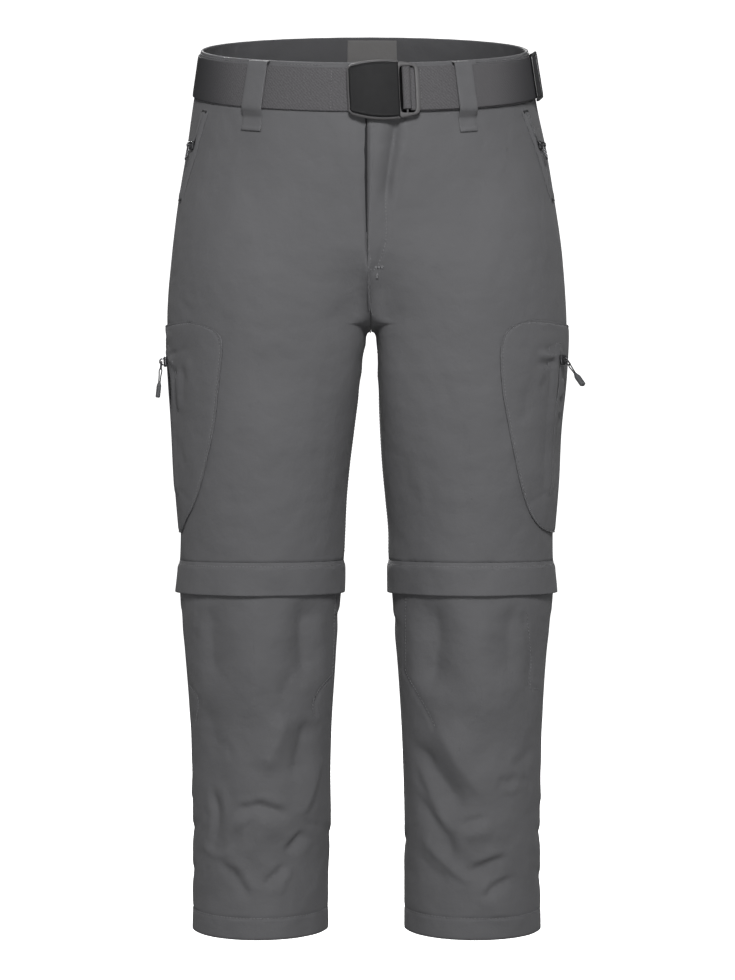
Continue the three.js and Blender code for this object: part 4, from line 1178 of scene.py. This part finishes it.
# belt loops: place, angle round the waist, lean, how far it stands over the strap, width
loopPlaces = [
    ("front_left", -37.5, -1.6, 5.4, 21), ("front_right", 33, 1.2, 6.4, 18), ("back_left", -132, 0, 2.9, 18),
    ("back_middle", 180, 0, 2.9, 18), ("back_right", 132, 0, 2.9, 18),
]
loopSize = {"length": 68, "thick": 1.4, "seat": 0.35, "waistRadius": 155}


def addBeltLoops():
    # a band that leaves the waistband, bridges the strap and comes back to the cloth below it
    seat = loopSize["seat"]
    for name, angle, lean, bridge, width in loopPlaces:
        knots = np.array([-loopSize["length"], -55, -51, -47, -34, -16, -3.6, -1.6, -0.5], float)
        outs = np.array([seat, seat, (seat + bridge) / 2, bridge, bridge + 0.3, bridge + 0.3, bridge,
                         (seat + bridge) / 2, seat])
        z = spread(-loopSize["length"], -0.5, 2.0, (-66, -52, -2), 3, 0.8)
        reach = math.degrees(width / loopSize["waistRadius"])
        u = np.concatenate([[-0.5, -0.47], np.linspace(-0.4, 0.4, 9), [0.47, 0.5]])
        u, z = np.meshgrid(u, z)
        out = cubicThrough(knots, outs, z)
        a = angle + lean * (z / -loopSize["length"]) + u * reach
        fold = 0.35 * bell(z + 66, 1.6) - 0.3 * bell(z + 63, 1.2)
        crown = loopSize["thick"] + fold - 0.4 * np.abs(2 * u) ** 10
        loop = wallOn(waistPoint, (a, z), out + crown, out, np.stack([u * width, z], -1))
        made = addObject(f"belt_loop_{name}_cloth", [loop], shellCloth, f"belt_loop_{name}")


buckle = {"width": 67, "height": 55, "cornerHeight": 44, "corner": 4, "middleX": 15, "middleZ": -26.5,
          "shear": 0.045, "low": 5.0, "thick": 2.6, "windowLeft": 14.4, "windowRight": 28.8,
          "windowHalf": 21.6, "ringLeft": 12.4,
          "plateLow": 7.9, "plateThick": 1.2, "dome": 0.7, "lip": 0.45, "under": (-33.3, 13.5),
          "plate": (-31.7, 13.6), "clamp": (-29, -15), "barHalf": 22, "barRadius": 1.25}


def bucklePoint(x, up, out):  # x and up from the buckle's middle, leaning as it does
    z = up + buckle["middleZ"]
    across = x - up * buckle["shear"] + buckle["middleX"]
    return waistPoint(waistAngle(across, z), z, out)


def barrelHalf(x, width, height, cornerHeight, radius):
    # half the height of a plate with bowed edges at x, a parabola rounded off by a circle at each corner
    share = 2 * x / width
    bowed = mix(height, cornerHeight, share * share) / 2
    fromEnd = np.minimum(radius, width / 2 - np.abs(x))
    return bowed - radius + np.sqrt(np.maximum(0, radius**2 - (radius - fromEnd) ** 2))


def platePart(left, right, width, height, cornerHeight, radius, low, thick, dome, lip):
    # a domed plate with bowed edges between two places across; its rim stands up as a thin lip
    u = np.sin(np.linspace(-1, 1, 61) * math.pi / 2)
    v = np.sin(np.linspace(-1, 1, 49) * math.pi / 2)
    u, v = np.meshgrid(u, v)
    x = mix(left, right, (u + 1) / 2)
    halfUp = barrelHalf(np.clip(x, -width / 2 + 0.01, width / 2 - 0.01), width, height, cornerHeight, radius)
    up = v * halfUp
    sides = np.where(u < 0, (1 + u), (1 - u)) * (right - left) / 2
    toEdge = np.minimum(sides, (1 - np.abs(v)) * halfUp)
    rim = lip * bell(toEdge - 1.3, 0.6) * smooth(2 - 2 * u) - 0.7 * bell(toEdge, 0.6)
    top = low + thick + dome * (1 - u**2) * (1 - v**2) + rim
    return wallOn(bucklePoint, (x, up), top, np.full_like(x, low))


def ringPart(innerLine, outerLine, low, thick, steps=12):
    # a closed band between two outlines with a rounded section, for a frame round a window
    share = np.linspace(0, 2 * math.pi, steps, endpoint=False)
    across = (1 - squared(np.cos(share), 0.4)) / 2
    up = (1 + squared(np.sin(share), 0.4)) / 2
    line = innerLine[:, None] * (1 - across)[None, :, None] + outerLine[:, None] * across[None, :, None]
    out = low + thick * np.broadcast_to(up, line.shape[:2])
    return closedRing(bucklePoint(line[..., 0], line[..., 1], out).reshape(-1, 3), len(innerLine), steps)


def addBuckle():
    # a cast frame with a window, a bar in the window, a domed plate over the frame, and the clamp behind
    low, thick, width, height = buckle["low"], buckle["thick"], buckle["width"], buckle["height"]
    left, right, windowHalf = buckle["windowLeft"], buckle["windowRight"], buckle["windowHalf"]
    corner = buckle["cornerHeight"]
    turn = np.linspace(0, 2 * math.pi, 96, endpoint=False)
    boxC, boxS = squared(np.cos(turn), 0.28), squared(np.sin(turn), 0.28)
    window = np.stack([(left + right) / 2 + boxC * (right - left) / 2, boxS * windowHalf], -1)
    outerX = mix(buckle["ringLeft"], width / 2, (boxC + 1) / 2)
    reach = barrelHalf(np.minimum(outerX, width / 2 - 0.01), width, height, corner, buckle["corner"])
    ring = ringPart(window, np.stack([outerX, boxS * reach], -1), low, thick)
    under = platePart(*buckle["under"], width, height, corner, buckle["corner"], low, thick, 0, 0)
    barX, barOut = (left + right) / 2 - 0.8, low + 1.3
    barUp = np.linspace(-buckle["barHalf"], buckle["barHalf"], 12)
    bar = tubePart(bucklePoint(np.full(12, barX), barUp, np.full(12, barOut)), buckle["barRadius"], 12,
                   up=(0, 1, 0))
    addObject("buckle_frame_metal", [ring, under, bar], frameFinish, "buckle_frame",
              sharpAngle=50)
    plate = platePart(*buckle["plate"], width - 3.2, height - 3.8, corner - 3.2, 3, buckle["plateLow"],
                      buckle["plateThick"], buckle["dome"], buckle["lip"])
    addObject("buckle_plate_metal", [plate], buckleFinish, "buckle_plate")
    # a black sheet behind the window: painted shade, so that the gaps beside the webbing are as dark as their
    # shade
    x, up = np.meshgrid(np.linspace(left - 1.5, right + 1.0, 12),
                        np.linspace(-windowHalf - 1.0, windowHalf + 1.0, 24))
    behind = wallOn(bucklePoint, (x, up), np.full_like(x, 3.0), np.full_like(x, 2.5))
    clamp = platePart(*buckle["clamp"], 80, 38, 38, 2, 2.5, 2.2, 0, 0)
    addObject("buckle_clamp_and_painted_shade_sheet", [clamp, behind], clampSteelAndShadeSheet, "buckle_clamp", sharpAngle=50)
    addBeltTurn(barX, barOut)


def addBeltTurn(x, out):
    # the webbing's turn round the bar: a flat closed band as high as the strap is wide
    turn = np.linspace(0, 2 * math.pi, 36, endpoint=False)
    up = spread(-19.5, 19.5, 3.0, (-19.5, 19.5), 2, 0.8)
    turn, up = np.meshgrid(turn, up)
    layers = []
    for grow in (1.3, 0.0):
        across = x + (2.5 + grow) * np.cos(turn)
        height = out + (1.6 + grow) * np.sin(turn)
        layers.append(bucklePoint(across, up + 1.4, height))
    rows, columns = turn.shape
    size = rows * columns
    points = np.concatenate([layers[0].reshape(-1, 3), layers[1].reshape(-1, 3)])
    k = np.arange(columns)
    after = (k + 1) % columns
    last = (rows - 1) * columns
    quads = np.concatenate([
        gridFaces(rows, columns, wrap=True), gridFaces(rows, columns, size, wrap=True)[:, ::-1],
        np.stack([after, k, size + k, size + after], -1),
        np.stack([last + k, last + after, size + last + after, size + last + k], -1)])
    quads, triangles = facingOut(points, quads, noFaces)
    uv = np.tile(np.stack([turn.ravel() * 4, up.ravel()], -1), (2, 1))
    addObject("belt_turn_webbing", [(points, quads, triangles, uv)], beltWebbingPaintedShade, "belt_turn",
              sharpAngle=50)


# ---- zips and pockets

# t is the share of the panel from the inner seam to the side seam
sidePocket = {"topT": 0.725, "bottomT": 0.885, "top": -54, "bottom": -152, "width": 8, "panel": 190,
              "sliderAt": -90}
cargoZip = {"left": 16, "right": 31, "top": -306, "bottom": -434, "width": 9, "mouth": -337}
pocket = {"top": -277, "bottom": -482, "back": 40, "backLow": 22, "thick": 1.5}
perDegree = 1.6  # millimetres of the leg's girth


def sidePocketPlace(z):  # the slanting line of the side pocket's zip
    share = (sidePocket["top"] - z) / (sidePocket["top"] - sidePocket["bottom"])
    return mix(sidePocket["topT"], sidePocket["bottomT"], share)


def pocketAngles(side, z):  # the turns round the leg of the cargo pocket's two upright edges
    front = reachAngle(side, z, readRows(pocketRows, 1 if side < 0 else 2, z))
    share = clampShare((z - pocket["bottom"]) / 60)
    return front, -mix(pocket["backLow"], pocket["back"], smooth(share))


def pocketHeight(u, v):  # low at the sewn edges and full in the middle, as a product of two arches
    edge = lambda s: np.sin(math.pi * clampShare(s)) ** 0.6
    return 0.45 + 2.35 * edge(u) * edge(v)


def pocketOut(side, angle, z):  # how far the back of the cargo pocket's cloth stands off the leg
    front, back = pocketAngles(side, z)
    v = (z - pocket["bottom"]) / (pocket["top"] - pocket["bottom"])
    return pocketHeight((angle - back) / (front - back), v)


# folds and darts of the pockets: side, points by the turn round the leg in degrees and the height,
# height, half width
pocketCreases = [
    (-1, [(6, -437), (20, -439), (29, -443), (38, -451)], -0.9, 1.5),
    (-1, [(-6, -305), (12, -307), (36, -306)], -1.5, 2.0),
    (-1, [(20, -310), (27, -316)], 2.2, 4.5),
    (-1, [(2, -280), (9, -292), (7, -301)], -2.6, 4.5),
    (-1, [(22, -284), (16, -296)], 1.8, 4.5),
    (-1, [(34, -306), (42, -303)], -1.0, 3),
    (-1, [(33, -318), (30, -336), (31, -366)], 2.2, 4.0),
    (-1, [(29, -318), (25, -338), (27, -368)], -3.0, 3.0),
    (-1, [(34, -420), (30, -405), (31, -388)], -0.8, 4),
    (1, [(50, -451), (36, -443), (20, -438)], -0.9, 1.5),
    (1, [(22, -304), (34, -304.5), (46, -303)], -2.8, 2.4),
    (1, [(34, -318), (42, -317.5), (52, -318.5)], -3.2, 2.4),
    (1, [(36, -311), (44, -310), (52, -309)], 1.9, 3.0),
    (1, [(37, -321), (36, -336), (33, -350), (21, -358)], -3.6, 3.8),
    (1, [(43, -330), (46, -345)], -2.4, 2.6),
    (1, [(25, -330), (24, -350)], 2.0, 5.5),
    (1, [(16, -368), (26, -372)], -2.6, 3.5),
    (1, [(52, -330), (58, -350), (56, -380)], -0.8, 6),
    (1, [(48, -284), (30, -288)], -0.7, 4),
    (-1, [(34, -318), (37, -334), (35, -352)], -1.4, 5.5),
    (-1, [(45, -314), (40, -330), (38, -352)], 1.0, 4),
]


def pocketCrease(side, angle, z):  # the sum of soft troughs and ridges along the lines above
    height = np.zeros_like(z)
    for at, points, size, width in pocketCreases:
        if at != side:
            continue
        line = [(a * perDegree, level) for a, level in points]
        distance, share, _ = lineDistance(line, angle * perDegree, z, 1)
        ends = smooth(share / 0.2) * smooth((1 - share) / 0.2) if width > 1.6 else 1
        height = height + size * ends * bell(distance, width)
    return height


# lips of the pocket's cloth that close over a zip: half slit at the top, at the opening, lower down
zipLips = {"left": (0.5, 3.4, 0.25), "right": (0.5, 1.1, 0.14), "reach": 17.0, "thick": 0.7}


def cargoLips(side):
    # two strips that lie over the zip from both sides; the slit between them opens below the slider
    name = sideName(side)
    middle = cargoZip[name]
    closed, opened, shut = zipLips[name]
    z = spread(cargoZip["bottom"] - 16, cargoZip["top"] + 12, 2.0, (-320,), 20, 1.0)
    parts = []
    for hand in (-1, 1):
        u, level = np.meshgrid(np.linspace(0, 1, 12), z)
        wide = opened * (2.6 if hand > 0 and opened > 2 else 1)
        gap = shut + (wide - shut) * bell(level - cargoZip["mouth"], 19) + closed * bell(level + 310, 6)
        gap = gap + 0.12 * np.sin(level / 5.1) * (1 if hand > 0 else 0.6)
        reach = mix(gap, zipLips["reach"], u)
        angle = middle + hand * np.degrees(reach / legRadius)
        ends = smooth((level - z[0]) / 13) * smooth((z[-1] - level) / 11)
        lift = ends * (2.05 * (1 - smooth((u - 0.15) / 0.85)) + 0.15 * bell(u, 0.12)) - 1.1
        cloth = pocketOut(side, angle, level) + pocket["thick"]
        low = cloth + np.maximum(pocketCrease(side, angle, level) * smooth(u / 0.8), -0.5) + lift
        top = low + zipLips["thick"] - 0.2 * (1 - np.minimum(u / 0.1, 1))
        uv = np.stack([angle * perDegree, level], -1)
        parts.append(wallOn(legPoint, (side, angle, level), top, low, uv))
    return parts


def addCargoPockets():
    # each a wall that stands off the leg inside its sewn edge, with its folds, and the lips over its zip
    for side in (-1, 1):
        u = (1 - np.cos(np.linspace(0, math.pi, 71))) / 2
        v = (1 - np.cos(np.linspace(0, math.pi, 91))) / 2
        u, v = np.meshgrid(u, v)
        z = mix(pocket["bottom"], pocket["top"], v)
        front, back = pocketAngles(side, z)
        angle = mix(back, front, u)
        low = pocketHeight(u, v)
        width = np.abs(front - back) * perDegree
        tall = pocket["top"] - pocket["bottom"]
        toEdge = np.minimum(np.minimum(u, 1 - u) * width, np.minimum(v, 1 - v) * tall)
        sewn = -0.55 * bell(toEdge - 2.2, 0.9)
        crease = np.maximum(pocketCrease(side, angle, z) * smooth(toEdge / 8), 0.35 - low)
        low = low + crease
        name = sideName(side)
        addCloth(f"cargo_pocket_{name}", legPoint, (side, angle, z), low + pocket["thick"] + sewn, low,
                 np.stack([angle * perDegree, z], -1),
                 extra=cargoLips(side))
        sewPocket(side)


def sewPocket(side):  # one row inside each edge of the cargo pocket
    z = np.linspace(pocket["top"] - 3, pocket["bottom"] + 3, 160)
    front, back = pocketAngles(side, z)
    inset = 2.2 / perDegree
    for angle in (front - inset, back + inset):
        sewOnLeg(side, angle, z, pocketOut(side, angle, z) + pocket["thick"] - 0.55)
    for level in (pocket["top"] - 2.6, pocket["bottom"] + 2.6):
        front, back = pocketAngles(side, np.array(level))
        angle = np.linspace(float(back) + 2, float(front) - 2, 80)
        z = np.full(80, level)
        sewOnLeg(side, angle, z, pocketOut(side, angle, z) + pocket["thick"] - 0.55)


def toothParts(path, normals, pitch, width):
    # two rows of small blocks that mesh like the turns of a coil
    gone, at = alongPath(path)
    centers = np.arange(pitch, gone[-1] - pitch, pitch)
    parts = []
    for hand in (-1, 1):
        places = centers + hand * pitch / 4
        middle = at(places, path)
        up = unit(at(places, normals))
        ahead = unit(at(places + 0.5, path) - at(places - 0.5, path))
        aside = np.cross(up, ahead) * hand
        corners = np.array([(a, s, h) for a in (-0.2, 0.2) for s in (-0.08, 0.5) for h in (-0.25, 0.3)])
        taper = np.where(corners[:, 2] > 0, 0.8, 1.0)
        points = (middle[:, None] + ahead[:, None] * (corners[:, 0] * pitch * taper * 1.6)[None, :, None]
                  + aside[:, None] * (corners[:, 1] * width * taper)[None, :, None]
                  + up[:, None] * corners[:, 2][None, :, None])
        box = np.array([[0, 1, 3, 2], [4, 6, 7, 5], [0, 4, 5, 1], [2, 3, 7, 6], [0, 2, 6, 4], [1, 5, 7, 3]])
        flat = points.reshape(-1, 3)
        parts.append((flat, *facingOut(flat, repeated(box, len(places), 8), noFaces), None))
    return parts


def sidePocketWelts(side):
    # two folded strips of the panel's cloth that meet over the side pocket's zip
    parts = []
    z = spread(sidePocket["bottom"] - 4, sidePocket["top"] + 4, 2.5, (-92,), 8, 1.2)
    for hand in (-1, 1):
        u, level = np.meshgrid(np.linspace(0, 1, 10), z)
        gap = 0.3 + 1.6 * bell(level - sidePocket["sliderAt"], 7) + 0.12 * np.sin(level / 6.3 + hand)
        reach = mix(gap, 6.5, u)
        t = sidePocketPlace(level) + hand * reach / sidePocket["panel"]
        ends = smooth((level - z[0]) / 10) * smooth((z[-1] - level) / 10)
        lift = ends * (0.95 + 1.35 * (1 - smooth((u - 0.4) / 0.6))) - 0.8
        top = lift + 0.6 - 0.2 * (1 - np.minimum(u / 0.1, 1))
        parts.append(wallOn(clothPoint, (side, -1, t, level), top, lift,
                            np.stack([t * sidePocket["panel"], level], -1)))
    return parts


def addSideZips():
    # a tape with a row of teeth along its middle and a row of stitches beside each edge
    for side in (-1, 1):
        z = np.linspace(sidePocket["bottom"], sidePocket["top"], 60)
        u, z = np.meshgrid(np.linspace(-0.5, 0.5, 9), z)
        t = sidePocketPlace(z) + u * sidePocket["width"] / sidePocket["panel"]
        tape = wallOn(clothPoint, (side, -1, t, z), 1.4 - 0.5 * (1 - np.abs(2 * u)) ** 2, 0.3)
        name = f"side_pocket_zip_{sideName(side)}"
        addObject(name + "_tape", [tape], zipTape, name)
        line = np.linspace(sidePocket["bottom"] + 2, sidePocket["top"] - 2, 90)
        path = clothPoint(side, -1, sidePocketPlace(line), line, 1.05)
        teeth = toothParts(path, baseSlopes(side, -1, sidePocketPlace(line), line)[1], 1.6, 3.2)
        addObject(name + "_teeth", teeth, coilPlastic)
        for edge in (-0.62, 0.62):
            place = sidePocketPlace(line) + edge * sidePocket["width"] / sidePocket["panel"]
            sewCloth(side, -1, place, line, 0.05)


def addCargoZips():
    # as the side zips, with the cloth that closes over the top end; the left one gapes at its mouth
    reach = math.degrees(cargoZip["width"] / legRadius)
    for side in (-1, 1):
        name = sideName(side)
        middle = cargoZip[name]
        u, z = np.meshgrid(np.linspace(-0.5, 0.5, 9), np.linspace(cargoZip["bottom"], cargoZip["top"], 70))
        # on the left the tape is widened at the mouth further than the real tape, so that more black shows
        # between the lips: a dark sheet that stands in for the shade inside the open mouth
        widenedForShade = 1.3 * bell(z - cargoZip["mouth"], 21) * (u > 0) * (1 if side < 0 else 0)
        angle = middle + u * reach * (1 + widenedForShade)
        low = pocketOut(side, angle, z) + pocket["thick"] + 0.3
        tape = wallOn(legPoint, (side, angle, z), low + 0.35 - 0.2 * (1 - np.abs(2 * u)) ** 2, low - 0.2)
        addObject(f"cargo_zip_{name}_tape", [tape], zipTape, f"cargo_zip_{name}")
        line = np.linspace(cargoZip["bottom"] + 2, cargoZip["top"] - 2, 100)
        angle = np.full(100, float(middle))
        out = pocketOut(side, angle, line) + pocket["thick"] + 0.6
        path = legPoint(side, angle, line, out)
        above = unit(legPoint(side, angle, line, out + 1) - path)
        addObject(f"cargo_zip_{name}_teeth", toothParts(path, above, 1.6, 3.4), coilPlastic)
        z = np.linspace(cargoZip["top"] + 0.3, cargoZip["top"] + 9, 10)
        u, z = np.meshgrid(np.linspace(-0.5, 0.5, 13), z)
        angle = middle + u * reach * 1.8
        low = pocketOut(side, angle, z) + pocket["thick"] + 0.3
        flush = 0.5 * np.sin(math.pi * (u + 0.5)) ** 0.7
        cover = wallOn(legPoint, (side, angle, z), low + 0.1 + flush, low - 0.4)
        node = f"cargo_zip_cover_{name}"
        addObject(node + "_cloth", [cover], shellCloth, node)
        for edge in (-0.66, 0.66):
            angle = np.full(100, middle + edge * reach)
            sewOnLeg(side, angle, line, pocketOut(side, angle, line) + pocket["thick"] + 0.05)


# ---- sliders and their pulls, built as the solids are: origin on the cloth, -y outwards, z up

cargoSlider = {"width": 8, "depth": 3, "height": 10, "bail": 3.4, "pivot": 5.2, "z": -313}
sideSlider = {"width": 7, "depth": 2.6, "height": 8, "bail": 3.2, "pivot": 4.8, "z": -92}
pull = {"link": 8, "linkHalf": 3.0, "wire": 1.5, "cord": 11, "grip": 16, "gripHalf": 3.0, "gripDeep": 2.2}
pullTilt = {"cargoleft": 6, "cargoright": 44, "side": 13}
sliderTurn = {"left": 0, "right": 24}


def turnZ(angle):  # a turn round the upright axis
    c, s = math.cos(angle), math.sin(angle)
    return np.array([[c, -s, 0], [s, c, 0], [0, 0, 1]])


def turnX(angle):  # a turn round the axis across
    c, s = math.cos(angle), math.sin(angle)
    return np.array([[1, 0, 0], [0, c, -s], [0, s, c]])


def sliderBody(size):
    # a rounded body that narrows downwards, and a bail of bent wire
    h = size["height"] / 2
    levels = np.array([-h, -h + 0.3, -h * 0.6, 0, h * 0.55, h - 0.4, h])
    half = size["width"] / 2 * np.array([0.5, 0.66, 0.78, 0.9, 1.0, 0.92, 0.78])
    deep = size["depth"] / 2 * np.array([0.6, 0.9, 1.0, 1.0, 1.0, 0.9, 0.6])
    body = loftPart(levels, np.full(7, -size["depth"] / 2), half, deep, 3.4, 28)
    b, far = size["bail"], -size["pivot"] - 1.7
    path = smoothPath([(0, -size["depth"] + 0.6, b - 0.6), (0, -size["depth"] - 1.2, b - 0.5),
                       (0, far + 0.8, b - 1.2), (0, far, 0), (0, far + 0.8, -b + 1.2),
                       (0, -size["depth"] - 1.2, -b + 0.5), (0, -size["depth"] + 0.6, -b + 0.6)], 0.5)
    return [body, tubePart(path, 0.75, 12, up=(1, 0, 0))]


def linkLoop(half, length, wire):  # a bent wire in the shape of a long rounded box, hung from its top
    turn = np.linspace(0, 2 * math.pi, 56, endpoint=False)
    c, s = np.cos(turn), np.sin(turn)
    x = squared(c, 0.45) * (half - wire / 2)
    z = squared(s, 0.45) * (length / 2 - wire / 4) - length / 2 + wire / 4
    return tubePart(np.stack([x, 0 * x, z], -1), wire / 2, 10, closed=True, up=(0, 1, 0))


def cordLoop(top, bottom):
    # one cord doubled round the foot of the link, both ends in the grip
    path = smoothPath([(0, -0.7, bottom), (0, -0.85, (top + bottom) / 2), (0, -1.25, top - 1.2),
                       (0, -0.7, top + 0.9), (0, 0, top + 1.3), (0, 0.7, top + 0.9), (0, 1.25, top - 1.2),
                       (0, 0.85, (top + bottom) / 2), (0, 0.7, bottom)], 0.5)
    return tubePart(path, 0.62, 10, up=(1, 0, 0))


def gripBody(top):
    # a moulded grip that swells below its neck, with fine ribs across it
    s = np.linspace(0, 1, 60)
    swell = mix(0.55, 1.0, smooth(s / 0.3)) * np.sqrt(1 - np.clip((s - 0.93) / 0.075, 0, 1) ** 2 * 0.6)
    ribs = (1 + 0.05 * np.sin(s * pull["grip"] / 1.5 * 2 * math.pi)
            * smooth((s - 0.2) / 0.1) * smooth((0.92 - s) / 0.1))
    return loftPart(top - s * pull["grip"], np.zeros(60), pull["gripHalf"] * swell * ribs,
                    pull["gripDeep"] * swell * ribs, 3.2, 28)


def placed(name, parts, material, matrix, place, body, node):  # parts turned and moved, as one object
    moved = [movedPart(part, matrix, place) for part in parts]
    addObject(name, moved, material, node, body, sharpAngle=60)


def addSliders():
    # one on each cargo zip, the right one turned to the side, and one on each side zip
    for side in (-1, 1):
        name = sideName(side)
        z = cargoSlider["z"]
        angle = cargoZip[name]
        turn = math.radians(sliderTurn[name])
        lift = (float(pocketOut(side, angle, z)) + pocket["thick"] + 1.95
                + 0.9 * math.sin(turn) * cargoSlider["width"] / 2)
        addPull(name, "cargo", cargoSlider, legPoint(side, angle, z, lift, 0), turn, side, 1 - angle / 180)
        t = sidePocketPlace(sideSlider["z"])
        addPull(name, "side", sideSlider, clothPoint(side, -1, t, sideSlider["z"], 2.3, 0), 0, side, t)


def addPull(name, kind, size, place, turn, side, t):
    # the slider faces the cloth's normal, and its pull hangs tilted from the pin in its bail
    normal = baseSlopes(side, -1, np.array(t), np.array(float(size["z"])))[1]
    facing = turnZ(math.atan2(normal[0], -normal[1]) - turn)
    node = f"{kind}_slider_{name}"
    placed(node + "_metal", sliderBody(size), blackMetal, facing, place, "garment", node)
    hung = facing @ turnX(-math.radians(pullTilt[kind + name if kind == "cargo" else kind]))
    pin = place + facing @ np.array([0, -size["pivot"], 0])
    if kind == "side":
        placed(f"side_pull_{name}_metal", [linkLoop(2.5, 15, 1.3)], blackMetal, hung, pin, f"side_tab_{name}",
               f"side_pull_{name}")
        return
    body = f"cargo_pull_{name}"
    link = linkLoop(pull["linkHalf"], pull["link"], pull["wire"])
    placed(f"{body}_link_metal", [link], blackMetal, hung, pin, body, f"cargo_pull_link_{name}")
    cordEnd = -pull["link"] - pull["cord"]
    placed(f"{body}_cord_loop", [cordLoop(-pull["link"], cordEnd - 1.5)], cordFinish, hung, pin, body,
           f"cargo_pull_cord_{name}")
    placed(f"{body}_grip_moulded", [gripBody(cordEnd - 0.6)], gripRubber, hung, pin, body,
           f"cargo_pull_grip_{name}")


# ---- sewn lines of the cloth

def sewEverything():
    # rows along the hems, flaps, seams, fly, darts and the top of the waistband, and two bartacks
    for side in (-1, 1):
        for half in (-1, 1):
            t = np.linspace(0.004, 0.996, 160)
            sewCloth(side, half, t, np.full(160, hemStitch), 0.05)
            z = np.full(160, flapStitch)
            sewCloth(side, half, t, z, flapOut(z) + 0.05)
        # beside the side seam above and below the knee, and beside the inseam
        for place, top, bottom, count in ((1 - 5 / 200, -58, -500, 300), (1 - 4 / 130, -545, -870, 220),
                                          (0.03, -300, -503, 140)):
            sewCloth(side, 1, np.full(count, place), np.linspace(top, bottom, count), 0.05)
    z = np.linspace(-58, -268, 150)
    for edge in (2.2, 8.0):
        sewCloth(1, 1, shareAtX(1, 1, np.full(150, edge), z), z, 0.1)
    sewByX(1, -1, seamRows[0][0], 0.1)  # the fly's row in the shape of a J, then the one along its edge
    sewByX(1, -1, [(2.6, -56), (2.6, -120), (2.6, -200), (2.8, -232)], 0.6)
    for points, _, _ in seamRows[1:]:
        side = -1 if points[0][0] < 0 else 1
        sewByX(side, -1, points, 0.1, 1.6 * side)
    # a bartack across the foot of the J and one below it
    for x, z, across, width, height, rows in ((9.5, -229.0, (1, 0, 0), 12, 2.0, 6),
                                              (9.0, -236.0, (0, 0, 1), 6, 1.6, 5)):
        x, z = np.array([x]), np.array([z])
        center = clothPoint(1, -1, shareAtX(1, -1, x, z), z, 0.2)[0]
        bartack(center, across, (0, -1, 0), width, height, rows)
    for first, last in ((-178, -45), (-30, -14), (40, 178)):
        sewOnWaist(np.linspace(first, last, 400), np.full(400, waistStitch), -0.2)


def setFinish(nodes, material):  # plain solids that keep their shape and get a better finish
    for name in nodes:
        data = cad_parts[name].data
        data.materials.clear()
        data.materials.append(material)


placeCamera()
placeLights()
print("camera and light ready")
addUpperPanels()
print("upper legs ready")
addLowerPanels()
addKneeFlaps()
print("lower legs ready")
addWaistband()
addLabel()
addBelt()
addAdjuster()
addBeltLoops()
addBuckle()
print("belt ready")
addCargoPockets()
addSideZips()
addCargoZips()
addSliders()
print("pockets ready")
sewEverything()
addObject("stitching", threads, sewingThread)
print("sewing ready")

setFinish(["knee_zip_left", "knee_zip_right", "fly_zip"], zipTape)


def addStage():
    # a round pale floor that sweeps up into a wall all round; it glows evenly, as a lit white studio does
    low = hemHeight * toMetres - studio["floorDrop"]
    turn = np.linspace(0, math.pi / 2, 16)
    far, sweep = studio["floorReach"], studio["sweep"]
    reach = np.concatenate([[0.01, 1.0, 3.0], far + sweep * np.sin(turn), [far + sweep]])
    height = low + np.concatenate([np.zeros(3), sweep - sweep * np.cos(turn), [studio["wallHeight"]]])
    around = np.linspace(0, 2 * math.pi, 72, endpoint=False)
    points = np.stack(np.broadcast_arrays(reach[:, None] * np.cos(around), reach[:, None] * np.sin(around),
                                          height[:, None]), -1).reshape(-1, 3)
    middle = np.arange(72)[None, :]
    faces = gridFaces(len(reach), 72, wrap=True)[:, ::-1].tolist() + middle.tolist()
    mesh = bpy.data.meshes.new("floor")
    mesh.from_pydata(points.tolist(), [], faces)
    mesh.polygons.foreach_set("use_smooth", np.ones(len(mesh.polygons), bool))
    material, _, shader = newMaterial("paleStudioFloor", 0.9)  # painted board, dull and even
    for socket in ("Base Color", "Emission Color"):
        shader.inputs[socket].default_value = linearColor(studio["floorColor"])
    shader.inputs["Emission Strength"].default_value = studio["floorGlow"]
    mesh.materials.append(material)
    floor = bpy.data.objects.new("floor", mesh)
    bpy.context.scene.collection.objects.link(floor)
    floor.visible_diffuse = floor.visible_glossy = floor.visible_shadow = False


addStage()
print("pieces", len(allParts))
